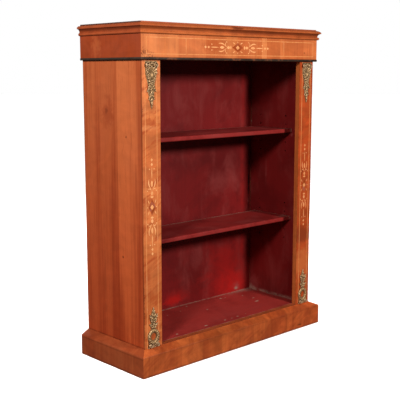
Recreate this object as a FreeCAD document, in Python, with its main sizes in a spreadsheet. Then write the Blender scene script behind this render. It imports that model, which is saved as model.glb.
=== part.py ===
import FreeCAD, Part
import math
import os
import Sketcher

# Open bookcase with two adjustable shelves, in millimetres.
# +Z is up and the front faces -Y. The origin is on the floor, under the middle of the plinth.

doc = FreeCAD.newDocument("bookcase")
sheet = doc.addObject("Spreadsheet::Sheet", "Sizes")

SIZES = [
    # the whole case
    ("overall_height", 1050, "floor to top"),
    ("case_width", 772, "over the veneered sides"),
    ("case_depth", 287, "pilaster fronts to the back edges of the sides"),
    ("veneer", 1, "saw-cut veneer on the sides and pilasters"),
    ("side_board", 25, "side, without its veneer"),
    ("pilaster_width", 69.5, "across the front, over the side veneer"),
    ("pilaster_board", 16, "pilaster, without its veneer"),
    ("floor_board", 20, "fixed floor board"),
    ("top_board", 20, "fixed top board"),
    ("back_board", 12, "back boards"),
    ("back_recess", 7, "back boards in from the side's back edge"),
    ("back_rebate", 10, "how far the back boards lap into each side"),
    ("back_board_count", 4, "boards across the back"),
    # the plinth and the frame inside it
    ("plinth_overhang", 28, "plinth beyond the case"),
    ("plinth_height", 79, "to the top of its slope"),
    ("plinth_slope", 13.5, "height of the sloping top"),
    ("plinth_round", 3, "easing where the slope meets the face"),
    ("base_height", 61, "frame under the case"),
    ("base_rail", 22, "thickness of that frame"),
    ("glue_block", 30, "corner blocks in that frame"),
    # the frieze, the bead under it and the cornice on it
    ("frieze_height", 73.5, "frieze with its bead"),
    ("frieze_overhang", 8.5, "frieze beyond the case"),
    ("bead_height", 7, "ebonised bead under the frieze"),
    ("bead_swell", 1.5, "bead beyond the frieze"),
    ("cornice_height", 35, "cornice with the lip"),
    ("cornice_nose", 19.4, "nose of the cornice beyond the case"),
    ("cornice_nose_face", 3.5, "flat face of the nose"),
    ("cornice_ovolo", 7, "height of the rounded slope over the nose"),
    ("cornice_quirk", 2, "flat between the hollow and the bead"),
    ("cornice_neck", 10, "neck of the cornice beyond the case"),
    ("cornice_bead", 9.5, "round bead at the foot of the cornice"),
    ("lip_overhang", 6.5, "top lip beyond the case"),
    ("lip", 3, "thickness of the top lip"),
    # inlay
    ("string_width", 2.4, "boxwood stringing"),
    ("string_inset", 10.5, "outer pilaster string in from the edge"),
    ("string_inner_inset", 12.5, "inner pilaster string in from the edge"),
    ("string_gap", 0.85, "marquetry clear of the nearest string"),
    ("frieze_border_gap", 3.35, "frieze marquetry clear of its border"),
    ("frieze_string_end", 19, "frieze border in from its ends"),
    ("frieze_divider", 221, "upright frieze strings out from the middle"),
    ("marquetry_level", 510.5, "middle of the pilaster marquetry"),
    ("lozenge_long", 49, "long axis of the middle lozenge"),
    ("lozenge_short", 27.6, "short axis of the middle lozenge"),
    ("lozenge_leaf_gap", 1, "side leaves off the points of the lozenge"),
    ("inlay_dot", 2, "radius of the inlaid dots"),
    ("end_lozenge", 10.4, "small lozenges at the ends"),
    ("end_lozenge_gap", 3.1, "between the small lozenges"),
    # gilt mounts
    ("mount_plate", 3, "thickness of a mount at its edge"),
    ("mount_relief", 6, "raised middle of a mount"),
    ("top_mount_height", 138, "top mount"),
    ("top_mount_width", 47, "top mount"),
    ("top_mount_drop", 3.5, "gap under the bead"),
    ("low_mount_height", 127, "bottom mount"),
    ("low_mount_width", 47, "bottom mount"),
    ("pin_radius", 0.9, "brass pin through a mount"),
    ("pin_length", 12, "how far a pin goes into the pilaster"),
    ("pin_head", 1.8, "head radius of a brass pin"),
    ("pin_head_thick", 0.8, "head of a brass pin"),
    # shelves and pegs
    ("shelf_board", 14.5, "shelf"),
    ("shelf_setback", 67, "shelf edge behind the pilaster fronts"),
    ("shelf_back_gap", 22, "shelf in front of the back boards"),
    ("shelf_end_gap", 1, "shelf from each side"),
    ("shelf_round", 4, "rounding of the front edge"),
    ("low_shelf_level", 389.5, "top of the lower shelf"),
    ("peg_pitch", 31.75, "from one row of holes to the next"),
    ("shelf_rows", 10, "rows from the lower shelf to the upper one"),
    ("rows_spare", 2, "spare rows above and below each shelf"),
    ("peg_radius", 3.2, "shank of a turned peg"),
    ("peg_arm_radius", 4.5, "thicker arm that carries the shelf"),
    ("peg_clearance", 0.05, "shank in its hole, on the radius"),
    ("peg_seat", 0.1, "shelf above the top of the arm"),
    ("peg_depth", 14, "depth of a hole"),
    ("peg_end_gap", 0.5, "hole beyond the end of its peg"),
    ("peg_arm", 14, "peg from the side inwards"),
    ("peg_round", 1.5, "rounding of the arm's end"),
    ("peg_front", 30, "front peg behind the shelf's front edge"),
    ("peg_back", 28, "back peg before the shelf's back edge"),
    # hidden fixings
    ("screw_radius", 2.2, "screws through the top board"),
    ("screw_length", 45, "screws through the top board"),
    ("screw_head", 4.2, "sunk head radius"),
    ("screw_head_thick", 2.5, "sunk head thickness"),
    ("nail_radius", 1.3, "nails through the back boards"),
    ("nail_length", 30, "nails through the back boards"),
    ("nail_head", 3, "nail head radius"),
    ("nail_head_thick", 1, "nail head thickness"),
    ("nail_inset", 40, "nails in from the end of a board"),
    ("nail_edge", 5, "nails in from the edge of a board"),
]
for row, (alias, value, note) in enumerate(SIZES, start=1):
    sheet.set(f"A{row}", alias)
    sheet.set(f"B{row}", str(value))
    sheet.setAlias(f"B{row}", alias)
    sheet.set(f"C{row}", note)
doc.recompute()


def size(expression):
    """The number an expression on the sheet comes to."""
    return float(sheet.evalExpression(expression))


# Places worked out from the sheet, all written as expressions.
HALF = "(Sizes.case_width / 2)"
FRONT = "((Sizes.plinth_overhang - Sizes.case_depth) / 2)"
BACK = f"({FRONT} + Sizes.case_depth)"
CARCASS_FRONT = f"({FRONT} + Sizes.veneer + Sizes.pilaster_board)"
INNER = f"({HALF} - Sizes.veneer - Sizes.side_board)"
PILASTER_INNER = f"({HALF} - Sizes.pilaster_width)"
BACK_OUTSIDE = f"({BACK} - Sizes.back_recess)"
BACK_FACE = f"({BACK_OUTSIDE} - Sizes.back_board)"
BASE_TOP = "Sizes.base_height"
FLOOR_TOP = "(Sizes.base_height + Sizes.floor_board)"
LIP_BOTTOM = "(Sizes.overall_height - Sizes.lip)"
TOP_BOTTOM = f"({LIP_BOTTOM} - Sizes.top_board)"
CORNICE_BOTTOM = "(Sizes.overall_height - Sizes.cornice_height)"
BEAD_BOTTOM = f"({CORNICE_BOTTOM} - Sizes.frieze_height)"
FRIEZE_BOTTOM = f"({BEAD_BOTTOM} + Sizes.bead_height)"
SHELF_FRONT = f"({FRONT} + Sizes.shelf_setback)"
SHELF_BACK = f"({BACK_FACE} - Sizes.shelf_back_gap)"
LOW_SHELF_UNDER = "(Sizes.low_shelf_level - Sizes.shelf_board)"
SHELF_RISE = "(Sizes.shelf_rows * Sizes.peg_pitch)"
SHELF_UNDERSIDES = {
    "lower": LOW_SHELF_UNDER,
    "upper": f"({LOW_SHELF_UNDER} + {SHELF_RISE})",
}
PEG_DROP = "(Sizes.peg_seat + Sizes.peg_arm_radius)"
PEG_COLUMNS = {
    "front": f"({SHELF_FRONT} + Sizes.peg_front)",
    "back": f"({SHELF_BACK} - Sizes.peg_back)",
}
SIDES = {"left": -1, "right": 1}

# Shares of a length, for evenly spread fixings.
SCREW_SHARES = (0.2, 0.5, 0.8)
NAIL_SHARES = (0.08, 0.3, 0.5, 0.7, 0.92)

# How far a marquetry panel reaches from its middle line, between the strings of a pilaster.
MOTIF_REACH = ("(Sizes.pilaster_width / 2 - Sizes.string_inner_inset"
               " - Sizes.string_width - Sizes.string_gap)")
LOZENGE_TIP = "(Sizes.lozenge_long / 2)"

# Inlaid shapes above the tip of the lozenge. Out is a share of the reach, up and rise are in mm.
# Upright leaves on the middle line: from, to and how far each edge swells.
MIDDLE_LEAVES = [(11, 23.5, 4.4), (35.5, 55.5, 4), (58.5, 96, 1.7)]
# The small leaf that lies across the middle line: half its share of the reach, up and rise.
COLLAR = (0.31, 6.5, 3.2)
# Curved leaves and scrolls, one on each side: start, finish, and the rise of their two edges.
# A positive rise swells to the right of the way that the edge runs.
CURVED_LEAVES = [
    ((0.12, 24.5), (0.84, 27.5), -6.5, 3.8),
    ((0.16, 30.5), (0.56, 61.5), 7, -3.2),
    ((0.54, -13), (0.82, -2), 2.2, 1),
]
SCROLL_DOT_UP = 25
OUTER_DOT = (0.46, 89.5)
FIRST_END_LOZENGE = 103
SIDE_LEAF_RISE = 1.8

nodes = {}


def keep(name, shape_object):
    """Give a finished piece its own name and list it for writing."""
    shape_object.Label = name
    nodes[name] = shape_object
    return shape_object


def bind(target, prop, expression):
    target.setExpression(prop, expression)


def place(target, x="0", y="0", z="0"):
    for axis, expression in (("x", x), ("y", y), ("z", z)):
        bind(target, f"Placement.Base.{axis}", expression)


def block(name, x, y, z):
    """A squared board between a low and a high expression on each axis."""
    box = doc.addObject("Part::Box", name)
    for prop, (low, high) in (("Length", x), ("Width", y), ("Height", z)):
        bind(box, prop, f"{high} - {low}")
    place(box, x[0], y[0], z[0])
    return box


def rod(name, radius, length, x, y, z, direction):
    """A round bar from a point along one axis."""
    bar = doc.addObject("Part::Cylinder", name)
    bind(bar, "Radius", radius)
    bind(bar, "Height", length)
    bar.Placement.Rotation = FreeCAD.Rotation(FreeCAD.Vector(0, 0, 1), FreeCAD.Vector(*direction))
    place(bar, x, y, z)
    return bar


def group(name, members):
    """Separate solids that share one node."""
    together = doc.addObject("Part::Compound", name)
    together.Links = members
    return together


def cut(name, base, tool):
    hollowed = doc.addObject("Part::Cut", name)
    hollowed.Base = base
    hollowed.Tool = tool
    return hollowed


def across(sign, near, far):
    """A pair of X expressions on one side of the middle, lowest first."""
    if sign > 0:
        return near, far
    return f"(-{far})", f"(-{near})"


# Sketches and bodies.

def new_body(name, x="0", y="0", z="0"):
    body = doc.addObject("PartDesign::Body", name)
    place(body, x, y, z)
    return body


def datum(body, role):
    return next(feature for feature in body.Origin.OriginFeatures if feature.Role == role)


def new_sketch(body, plane):
    sketch = body.newObject("Sketcher::SketchObject", f"{body.Name}_sketch")
    sketch.AttachmentSupport = [(datum(body, plane), "")]
    sketch.MapMode = "FlatFace"
    return sketch


def fix_point(sketch, geometry, end, point):
    """Tie one end of a sketch line or arc to a pair of expressions."""
    for kind, expression in (("DistanceX", point[0]), ("DistanceY", point[1])):
        constraint = Sketcher.Constraint(kind, -1, 1, geometry, end, size(expression))
        bind(sketch, f"Constraints[{sketch.addConstraint(constraint)}]", expression)


def fix_radius(sketch, geometry, expression):
    constraint = sketch.addConstraint(Sketcher.Constraint("Radius", geometry, size(expression)))
    bind(sketch, f"Constraints[{constraint}]", expression)


def arc_middle(start, finish, radius):
    """The middle of the arc from start to finish; a positive radius bulges to the right."""
    half_chord = (finish - start) / 2
    reach = math.sqrt(max(radius ** 2 - half_chord.Length ** 2, 0))
    rise = abs(radius) - reach
    right = FreeCAD.Vector(half_chord.y, -half_chord.x, 0).normalize()
    return (start + finish) / 2 + right * math.copysign(rise, radius)


def outline(sketch, points):
    """A closed outline of expressions. A third entry in a point is the radius of an arc to the next."""
    corners = [FreeCAD.Vector(size(point[0]), size(point[1]), 0) for point in points]
    for index, point in enumerate(points):
        start = corners[index]
        finish = corners[(index + 1) % len(points)]
        after = points[(index + 1) % len(points)]
        if len(point) == 2:
            line = sketch.addGeometry(Part.LineSegment(start, finish))
            fix_point(sketch, line, 1, point)
            fix_point(sketch, line, 2, after)
            continue
        radius = size(point[2])
        # A sketch keeps every arc anticlockwise, so a hollow arc is drawn from its far end.
        first, last = (start, finish) if radius > 0 else (finish, start)
        arc = sketch.addGeometry(Part.Arc(first, arc_middle(start, finish, radius), last))
        fix_point(sketch, arc, 1 if radius > 0 else 2, point)
        fix_point(sketch, arc, 2 if radius > 0 else 1, after)
        fix_radius(sketch, arc, f"abs({point[2]})")


def round_hole(sketch, radius, centre):
    circle = sketch.addGeometry(Part.Circle(FreeCAD.Vector(size(centre[0]), size(centre[1]), 0),
                                            FreeCAD.Vector(0, 0, 1), size(radius)))
    fix_point(sketch, circle, 3, centre)
    fix_radius(sketch, circle, radius)


def pad(body, sketch, length, reverse=False, middle=False):
    feature = body.newObject("PartDesign::Pad", f"{body.Name}_pad")
    feature.Profile = sketch
    bind(feature, "Length", length)
    feature.Reversed = reverse
    if middle:
        feature.SideType = "Symmetric"
    sketch.Visibility = False
    return feature


def pocket(body, sketch, length, reverse=False, middle=False):
    """Cut a sketch into the body, and make sure that it took something away."""
    doc.recompute()
    before = body.Shape.Volume
    feature = body.newObject("PartDesign::Pocket", f"{body.Name}_pocket")
    feature.Profile = sketch
    bind(feature, "Length", length)
    feature.Reversed = reverse
    if middle:
        feature.SideType = "Symmetric"
    doc.recompute()
    if body.Shape.Volume >= before:
        raise RuntimeError(f"{body.Name}: a pocket cut nothing")
    return feature


def repeat(body, feature, step, count):
    """Copies of a feature going up the body, one step apart."""
    doc.recompute()
    rows = body.newObject("PartDesign::LinearPattern", f"{body.Name}_rows")
    rows.Originals = [feature]
    rows.Direction = (datum(body, "Z_Axis"), [""])
    bind(rows, "Length", f"({count} - 1) * {step}")
    bind(rows, "Occurrences", str(count))
    body.Tip = rows
    doc.recompute()


# Mouldings that run along the front and both sides, mitred at the front corners.

def facing(profile, sign):
    """A profile with its outward side along +u or -u. Turning it over turns its arcs as well."""
    turned = []
    for out, up, *radius in profile:
        turned.append((f"{sign} * ({out})", up, *[f"{sign} * ({bend})" for bend in radius]))
    return turned


def mitred(name, profile, reach, level):
    """One moulding in three lengths. The profile is (beyond the case, height) pairs."""
    spare = f"({reach} + 1)"
    front = new_body(f"{name}_front", y=FRONT, z=level)
    section = new_sketch(front, "YZ_Plane")
    outline(section, facing(profile, -1))
    pad(front, section, f"2 * ({HALF} + {spare})", middle=True)
    corners = new_sketch(front, "XY_Plane")
    for sign in SIDES.values():
        outline(corners, [
            (f"{sign} * {HALF}", "0"),
            (f"{sign} * ({HALF} + 2 * {spare})", f"-2 * {spare}"),
            (f"{sign} * ({HALF} + 2 * {spare})", "0"),
        ])
    pocket(front, corners, "2 * Sizes.overall_height", middle=True)
    pieces = {"front": front}
    for side, sign in SIDES.items():
        length = new_body(f"{name}_{side}", x=f"{sign} * {HALF}", y=BACK, z=level)
        section = new_sketch(length, "XZ_Plane")
        outline(section, facing(profile, sign))
        pad(length, section, f"Sizes.case_depth + {spare}")
        corner = new_sketch(length, "XY_Plane")
        outline(corner, [
            ("0", "-Sizes.case_depth"),
            (f"{sign} * 2 * {spare}", f"-Sizes.case_depth - 2 * {spare}"),
            ("0", f"-Sizes.case_depth - 2 * {spare}"),
        ])
        pocket(length, corner, "2 * Sizes.overall_height", middle=True)
        pieces[side] = length
    return pieces


def headed(name, shank, length, head, thick, at, direction):
    """A pin, nail or screw. It stands on the underside of its head and points along direction."""
    backwards = [-part for part in direction]
    body = rod(f"{name}_shank", f"Sizes.{shank}", f"Sizes.{length}", *at, direction)
    top = rod(f"{name}_head", f"Sizes.{head}", f"Sizes.{thick}", *at, backwards)
    whole = doc.addObject("Part::MultiFuse", name)
    whole.Shapes = [body, top]
    return whole


# Plinth: a frame of rails under the case, faced on three sides.

plinth = mitred("plinth", [
    ("0", "0"),
    ("Sizes.plinth_overhang", "0"),
    ("Sizes.plinth_overhang", "Sizes.plinth_height - Sizes.plinth_slope - Sizes.plinth_round",
     "2 * Sizes.plinth_round"),
    ("Sizes.plinth_overhang - Sizes.plinth_round",
     "Sizes.plinth_height - Sizes.plinth_slope * (1 - Sizes.plinth_round / Sizes.plinth_overhang)"),
    ("0", "Sizes.plinth_height"),
], "Sizes.plinth_overhang", "0")
for place_name, piece in plinth.items():
    keep(f"plinth_{place_name}", piece)

RAIL_INNER = f"({HALF} - Sizes.base_rail)"
RAIL_FRONT = f"({FRONT} + Sizes.base_rail)"
RAIL_BACK = f"({BACK} - Sizes.base_rail)"
whole_width = (f"-{HALF}", HALF)
keep("base_rail_front", block("base_front", whole_width, (FRONT, RAIL_FRONT), ("0", BASE_TOP)))
keep("base_rail_back", block("base_back", whole_width, (RAIL_BACK, BACK), ("0", BASE_TOP)))
corner_blocks = []
for side, sign in SIDES.items():
    rail = block(f"base_{side}", across(sign, RAIL_INNER, HALF), (RAIL_FRONT, RAIL_BACK), ("0", BASE_TOP))
    keep(f"base_rail_{side}", rail)
    block_x = across(sign, f"({RAIL_INNER} - Sizes.glue_block)", RAIL_INNER)
    for end, block_y in (("front", (RAIL_FRONT, f"({RAIL_FRONT} + Sizes.glue_block)")),
                         ("back", (f"({RAIL_BACK} - Sizes.glue_block)", RAIL_BACK))):
        corner_blocks.append(block(f"block_{side}_{end}", block_x, block_y, ("0", BASE_TOP)))
keep("glue_blocks", group("blocks", corner_blocks))

# Hidden fixings: screws down through the top board, nails through the back boards.

SIDE_MIDDLE = f"({INNER} + Sizes.side_board / 2)"
screws = []
for side, sign in SIDES.items():
    for number, share in enumerate(SCREW_SHARES):
        at = (f"{sign} * {SIDE_MIDDLE}",
              f"{CARCASS_FRONT} + {share} * ({BACK_FACE} - {CARCASS_FRONT})",
              f"{LIP_BOTTOM} - Sizes.screw_head_thick")
        screws.append(headed(f"screw_{side}_{number}", "screw_radius", "screw_length",
                             "screw_head", "screw_head_thick", at, (0, 0, -1)))
    at = (f"{sign} * {HALF} / 3",
          f"({FRONT} + {CARCASS_FRONT}) / 2",
          f"{LIP_BOTTOM} - Sizes.screw_head_thick")
    screws.append(headed(f"screw_{side}_rail", "screw_radius", "screw_length",
                         "screw_head", "screw_head_thick", at, (0, 0, -1)))
top_screws = keep("top_screws", group("screws", screws))

BACK_HALF = f"({INNER} + Sizes.back_rebate)"
BOARD_WIDTH = f"(2 * {BACK_HALF} / Sizes.back_board_count)"
back_count = int(size("Sizes.back_board_count"))
nails = []


def nail(name, x, z):
    at = (x, BACK_OUTSIDE, z)
    nails.append(headed(name, "nail_radius", "nail_length", "nail_head", "nail_head_thick", at, (0, -1, 0)))


for number in range(back_count):
    for end in (-1, 1):
        x = f"({number} + 0.5) * {BOARD_WIDTH} - {BACK_HALF} + {end} * ({BOARD_WIDTH} / 2 - Sizes.nail_inset)"
        nail(f"nail_floor_{number}_{end}", x, f"{BASE_TOP} + Sizes.floor_board / 2")
        nail(f"nail_top_{number}_{end}", x, f"{TOP_BOTTOM} + Sizes.top_board / 2")
for side, sign in SIDES.items():
    for number, share in enumerate(NAIL_SHARES):
        nail(f"nail_{side}_{number}", f"{sign} * ({BACK_HALF} - Sizes.nail_edge)",
             f"{FLOOR_TOP} + {share} * ({TOP_BOTTOM} - {FLOOR_TOP})")
back_nails = keep("back_nails", group("nails", nails))

# Gilt mounts, each pinned to the front of a pilaster. Outlines are shares of half the width and
# of the height, from the top down.

TOP_MOUNT = [(1, 0), (0.98, 0.27), (0.77, 0.45), (0.83, 0.62), (0.57, 0.8), (0.3, 0.92), (0.08, 1)]
LOW_MOUNT = [(0.08, 0), (0.64, 0.18), (0.4, 0.34), (0.77, 0.45), (0.45, 0.55), (1, 0.72), (0.9, 1)]
PILASTER_MIDDLE = f"({HALF} - Sizes.pilaster_width / 2)"
RAISED = 0.55


def mount(name, sign, half_outline, kind, top):
    """A casting: a flat plate with a raised middle."""
    body = new_body(name, x=f"{sign} * {PILASTER_MIDDLE}", y=FRONT, z=top)
    for share, thick in ((1, "Sizes.mount_plate"), (RAISED, "Sizes.mount_plate + Sizes.mount_relief")):
        sketch = new_sketch(body, "XZ_Plane")
        shape = []
        for wide, down in half_outline:
            drop = 0.5 + share * (down - 0.5)
            shape.append((wide * share, drop))
        both = shape + [(-wide, drop) for wide, drop in reversed(shape)]
        outline(sketch, [(f"{wide} * Sizes.{kind}_mount_width / 2", f"-{drop} * Sizes.{kind}_mount_height")
                         for wide, drop in both])
        pad(body, sketch, thick)
    return body


PIN_PLACES = {
    "top": ((-0.8, 0.07), (0.8, 0.07), (0, 0.93)),
    "low": ((0, 0.1), (-0.75, 0.93), (0.75, 0.93)),
}
MOUNT_TOPS = {
    "top": f"({BEAD_BOTTOM} - Sizes.top_mount_drop)",
    "low": "(Sizes.plinth_height + Sizes.low_mount_height)",
}
mount_pins = {"left": [], "right": []}
for side, sign in SIDES.items():
    for kind, shape in (("top", TOP_MOUNT), ("low", LOW_MOUNT)):
        pins = []
        for number, (wide, down) in enumerate(PIN_PLACES[kind]):
            at = (f"{sign} * {PILASTER_MIDDLE} + {wide} * Sizes.{kind}_mount_width / 2",
                  f"{FRONT} - Sizes.mount_plate",
                  f"{MOUNT_TOPS[kind]} - {down} * Sizes.{kind}_mount_height")
            pins.append(headed(f"pin_{side}_{kind}_{number}", "pin_radius", "pin_length",
                               "pin_head", "pin_head_thick", at, (0, 1, 0)))
        casting = mount(f"casting_{side}_{kind}", sign, shape, kind, MOUNT_TOPS[kind])
        name = f"{side}_{'bottom' if kind == 'low' else 'top'}_mount"
        keep(name, cut(f"{name}_pinned", casting, group(f"pins_{side}_{kind}", pins)))
        mount_pins[side] += pins
keep("mount_pins", group("all_pins", mount_pins["left"] + mount_pins["right"]))

# Inlay: stringing in straight strips, and marquetry in small separate shapes let into the veneer.


def diamond(sketch, middle, long, short):
    """A lozenge that stands on its point."""
    outline(sketch, [
        (short, middle),
        ("0", f"{middle} + {long}"),
        (f"-{short}", middle),
        ("0", f"{middle} - {long}"),
    ])


def rise_radius(start, finish, rise):
    """The radius of an arc between two points that rises this far off its chord."""
    half_chord_squared = f"(pow({finish[0]} - {start[0]}; 2) + pow({finish[1]} - {start[1]}; 2)) / 4"
    return f"({half_chord_squared} + pow({rise}; 2)) / (2 * {rise})"


def leaf(sketch, start, finish, first_rise, second_rise):
    """A pointed leaf or scroll between two points, of two arcs."""
    outline(sketch, [
        (*start, rise_radius(start, finish, first_rise)),
        (*finish, rise_radius(start, finish, second_rise)),
    ])


def above_tip(sign, out, up):
    """A point beside the middle line, above the tip of the lozenge."""
    return f"{sign} * {out} * {MOTIF_REACH}", f"({LOZENGE_TIP} + {up})"


def half_motif():
    """One end of a marquetry panel: leaves, scrolls and dots, with two small lozenges at the end."""
    body = new_body("half_motif")
    stem = new_sketch(body, "XZ_Plane")
    for low, high, rise in MIDDLE_LEAVES:
        leaf(stem, above_tip(1, 0, low), above_tip(1, 0, high), rise, rise)
    half, up, rise = COLLAR
    leaf(stem, above_tip(-1, half, up), above_tip(1, half, up), rise, rise)
    pad(body, stem, "Sizes.veneer", reverse=True)
    for start, finish, first_rise, second_rise in CURVED_LEAVES:
        pair = new_sketch(body, "XZ_Plane")
        for sign in SIDES.values():
            leaf(pair, above_tip(sign, *start), above_tip(sign, *finish),
                 sign * first_rise, sign * second_rise)
        pad(body, pair, "Sizes.veneer", reverse=True)
    dots = new_sketch(body, "XZ_Plane")
    for sign in SIDES.values():
        round_hole(dots, "Sizes.inlay_dot",
                   (f"{sign} * ({MOTIF_REACH} - Sizes.inlay_dot)", f"({LOZENGE_TIP} + {SCROLL_DOT_UP})"))
        round_hole(dots, "Sizes.inlay_dot", above_tip(sign, *OUTER_DOT))
    pad(body, dots, "Sizes.veneer", reverse=True)
    ends = new_sketch(body, "XZ_Plane")
    diamond(ends, f"({LOZENGE_TIP} + {FIRST_END_LOZENGE})",
            "Sizes.end_lozenge / 2", "Sizes.end_lozenge * 0.4")
    first_end = pad(body, ends, "Sizes.veneer", reverse=True)
    repeat(body, first_end, "(Sizes.end_lozenge + Sizes.end_lozenge_gap)", 2)
    return body


def heart(sketch):
    """The light heart of a lozenge."""
    diamond(sketch, "0", "Sizes.lozenge_long / 6", "Sizes.lozenge_short / 4")


def dark_lozenge():
    """The dark lozenge in the middle of a panel, with a hole for its light heart."""
    body = new_body("dark_lozenge")
    sketch = new_sketch(body, "XZ_Plane")
    diamond(sketch, "0", LOZENGE_TIP, "Sizes.lozenge_short / 2")
    heart(sketch)
    pad(body, sketch, "Sizes.veneer", reverse=True)
    return body


def light_heart():
    """The heart and the two small leaves at the sides of the lozenge."""
    body = new_body("light_heart")
    sketch = new_sketch(body, "XZ_Plane")
    heart(sketch)
    for sign in SIDES.values():
        leaf(sketch, (f"{sign} * (Sizes.lozenge_short / 2 + Sizes.lozenge_leaf_gap)", "0"),
             (f"{sign} * {MOTIF_REACH}", "0"), SIDE_LEAF_RISE, SIDE_LEAF_RISE)
    pad(body, sketch, "Sizes.veneer", reverse=True)
    return body


def let_in_at(name, shape, at, turn):
    """One copy of an inlaid shape on a panel. Turned by 90 degrees, an upright panel lies down."""
    copy = group(name, [shape])
    copy.Placement.Rotation = FreeCAD.Rotation(FreeCAD.Vector(0, 1, 0), turn)
    place(copy, *at)
    return copy


upper_half = half_motif()
lower_half = doc.addObject("Part::Mirroring", "lower_half")
lower_half.Source = upper_half
lower_half.Normal = (0, 0, 1)
LIGHT_SHAPES = group("light_shapes", [upper_half, lower_half, light_heart()])
DARK_SHAPE = dark_lozenge()

# Pilasters: a walnut board faced with figured veneer, inlaid, and pinned through by the mounts.

dark_shapes = []
for side, sign in SIDES.items():
    board_x = across(sign, PILASTER_INNER, f"({HALF} - Sizes.veneer)")
    face_x = across(sign, PILASTER_INNER, HALF)
    upright = (BASE_TOP, BEAD_BOTTOM)
    face_y = (FRONT, f"({FRONT} + Sizes.veneer)")
    pins = group(f"pilaster_pins_{side}", mount_pins[side])

    strings = []
    for edge, low in (("outer", f"({HALF} - Sizes.string_inset - Sizes.string_width)"),
                      ("inner", f"({PILASTER_INNER} + Sizes.string_inner_inset)")):
        string_x = across(sign, low, f"({low} + Sizes.string_width)")
        strings.append(block(f"string_{side}_{edge}", string_x, face_y, upright))
    stringing = keep(f"{side}_pilaster_stringing", group(f"strings_{side}", strings))

    centre = (f"{sign} * {PILASTER_MIDDLE}", FRONT, "Sizes.marquetry_level")
    light = keep(f"{side}_pilaster_marquetry", let_in_at(f"marquetry_{side}", LIGHT_SHAPES, centre, 0))
    dark = let_in_at(f"lozenge_{side}", DARK_SHAPE, centre, 0)
    dark_shapes.append(dark)

    board = block(f"pilaster_{side}", board_x, (face_y[1], CARCASS_FRONT), upright)
    keep(f"{side}_pilaster", cut(f"pilaster_{side}_drilled", board, pins))
    face = block(f"pilaster_face_{side}", face_x, face_y, upright)
    let_in = group(f"pilaster_inlay_{side}", [stringing, light, dark, *mount_pins[side]])
    keep(f"{side}_pilaster_veneer", cut(f"pilaster_face_{side}_inlaid", face, let_in))

# Frieze: a rail behind, veneered boards in front and on the sides, inlay in the front one.

rail = block("rail", (f"-({HALF} - Sizes.veneer)", f"({HALF} - Sizes.veneer)"),
             (FRONT, CARCASS_FRONT), (BEAD_BOTTOM, TOP_BOTTOM))
keep("frieze_rail", cut("rail_drilled", rail, top_screws))

frieze = mitred("frieze", [
    ("0", "0"),
    ("Sizes.frieze_overhang", "0"),
    ("Sizes.frieze_overhang", "Sizes.frieze_height - Sizes.bead_height"),
    ("0", "Sizes.frieze_height - Sizes.bead_height"),
], "Sizes.frieze_overhang", FRIEZE_BOTTOM)
FRIEZE_FACE = f"({FRONT} - Sizes.frieze_overhang)"
string_y = (FRIEZE_FACE, f"({FRIEZE_FACE} + Sizes.veneer)")
FRIEZE_MIDDLE = f"(({FRIEZE_BOTTOM} + {CORNICE_BOTTOM}) / 2)"
BORDER_HALF = f"({MOTIF_REACH} + Sizes.frieze_border_gap + Sizes.string_width)"
BORDER_LOW = f"({FRIEZE_MIDDLE} - {BORDER_HALF})"
BORDER_HIGH = f"({FRIEZE_MIDDLE} + {BORDER_HALF})"
BORDER_END = f"({HALF} + Sizes.frieze_overhang - Sizes.frieze_string_end)"
strips = []
for name, low in (("low", BORDER_LOW), ("high", f"({BORDER_HIGH} - Sizes.string_width)")):
    strips.append(block(f"border_{name}", (f"-{BORDER_END}", BORDER_END), string_y,
                        (low, f"({low} + Sizes.string_width)")))
for side, sign in SIDES.items():
    for name, far in (("end", BORDER_END), ("divider", f"(Sizes.frieze_divider + Sizes.string_width / 2)")):
        strips.append(block(f"{name}_{side}", across(sign, f"({far} - Sizes.string_width)", far), string_y,
                            (f"({BORDER_LOW} + Sizes.string_width)",
                             f"({BORDER_HIGH} - Sizes.string_width)")))
frieze_strings = keep("frieze_stringing", group("frieze_strings", strips))
centre = ("0", FRIEZE_FACE, FRIEZE_MIDDLE)
frieze_light = keep("frieze_marquetry", let_in_at("marquetry_frieze", LIGHT_SHAPES, centre, 90))
frieze_dark = let_in_at("lozenge_frieze", DARK_SHAPE, centre, 90)
dark_shapes.append(frieze_dark)
keep("dark_lozenges", group("lozenges", dark_shapes))
frieze_inlay = group("frieze_inlay", [frieze_strings, frieze_light, frieze_dark])
keep("frieze_front", cut("frieze_front_inlaid", frieze["front"], frieze_inlay))
keep("frieze_left", frieze["left"])
keep("frieze_right", frieze["right"])

BEAD_RADIUS = ("(pow(Sizes.bead_height / 2; 2) + pow(Sizes.bead_swell; 2))"
               " / (2 * Sizes.bead_swell)")
bead = mitred("bead", [
    ("0", "0"),
    ("Sizes.frieze_overhang", "0", BEAD_RADIUS),
    ("Sizes.frieze_overhang", "Sizes.bead_height"),
    ("0", "Sizes.bead_height"),
], "Sizes.frieze_overhang + Sizes.bead_swell", BEAD_BOTTOM)
for place_name, piece in bead.items():
    keep(f"bead_{place_name}", piece)

# Cornice: a round bead, a hollow up to the nose, and a rounded slope back to the top lip.

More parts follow.
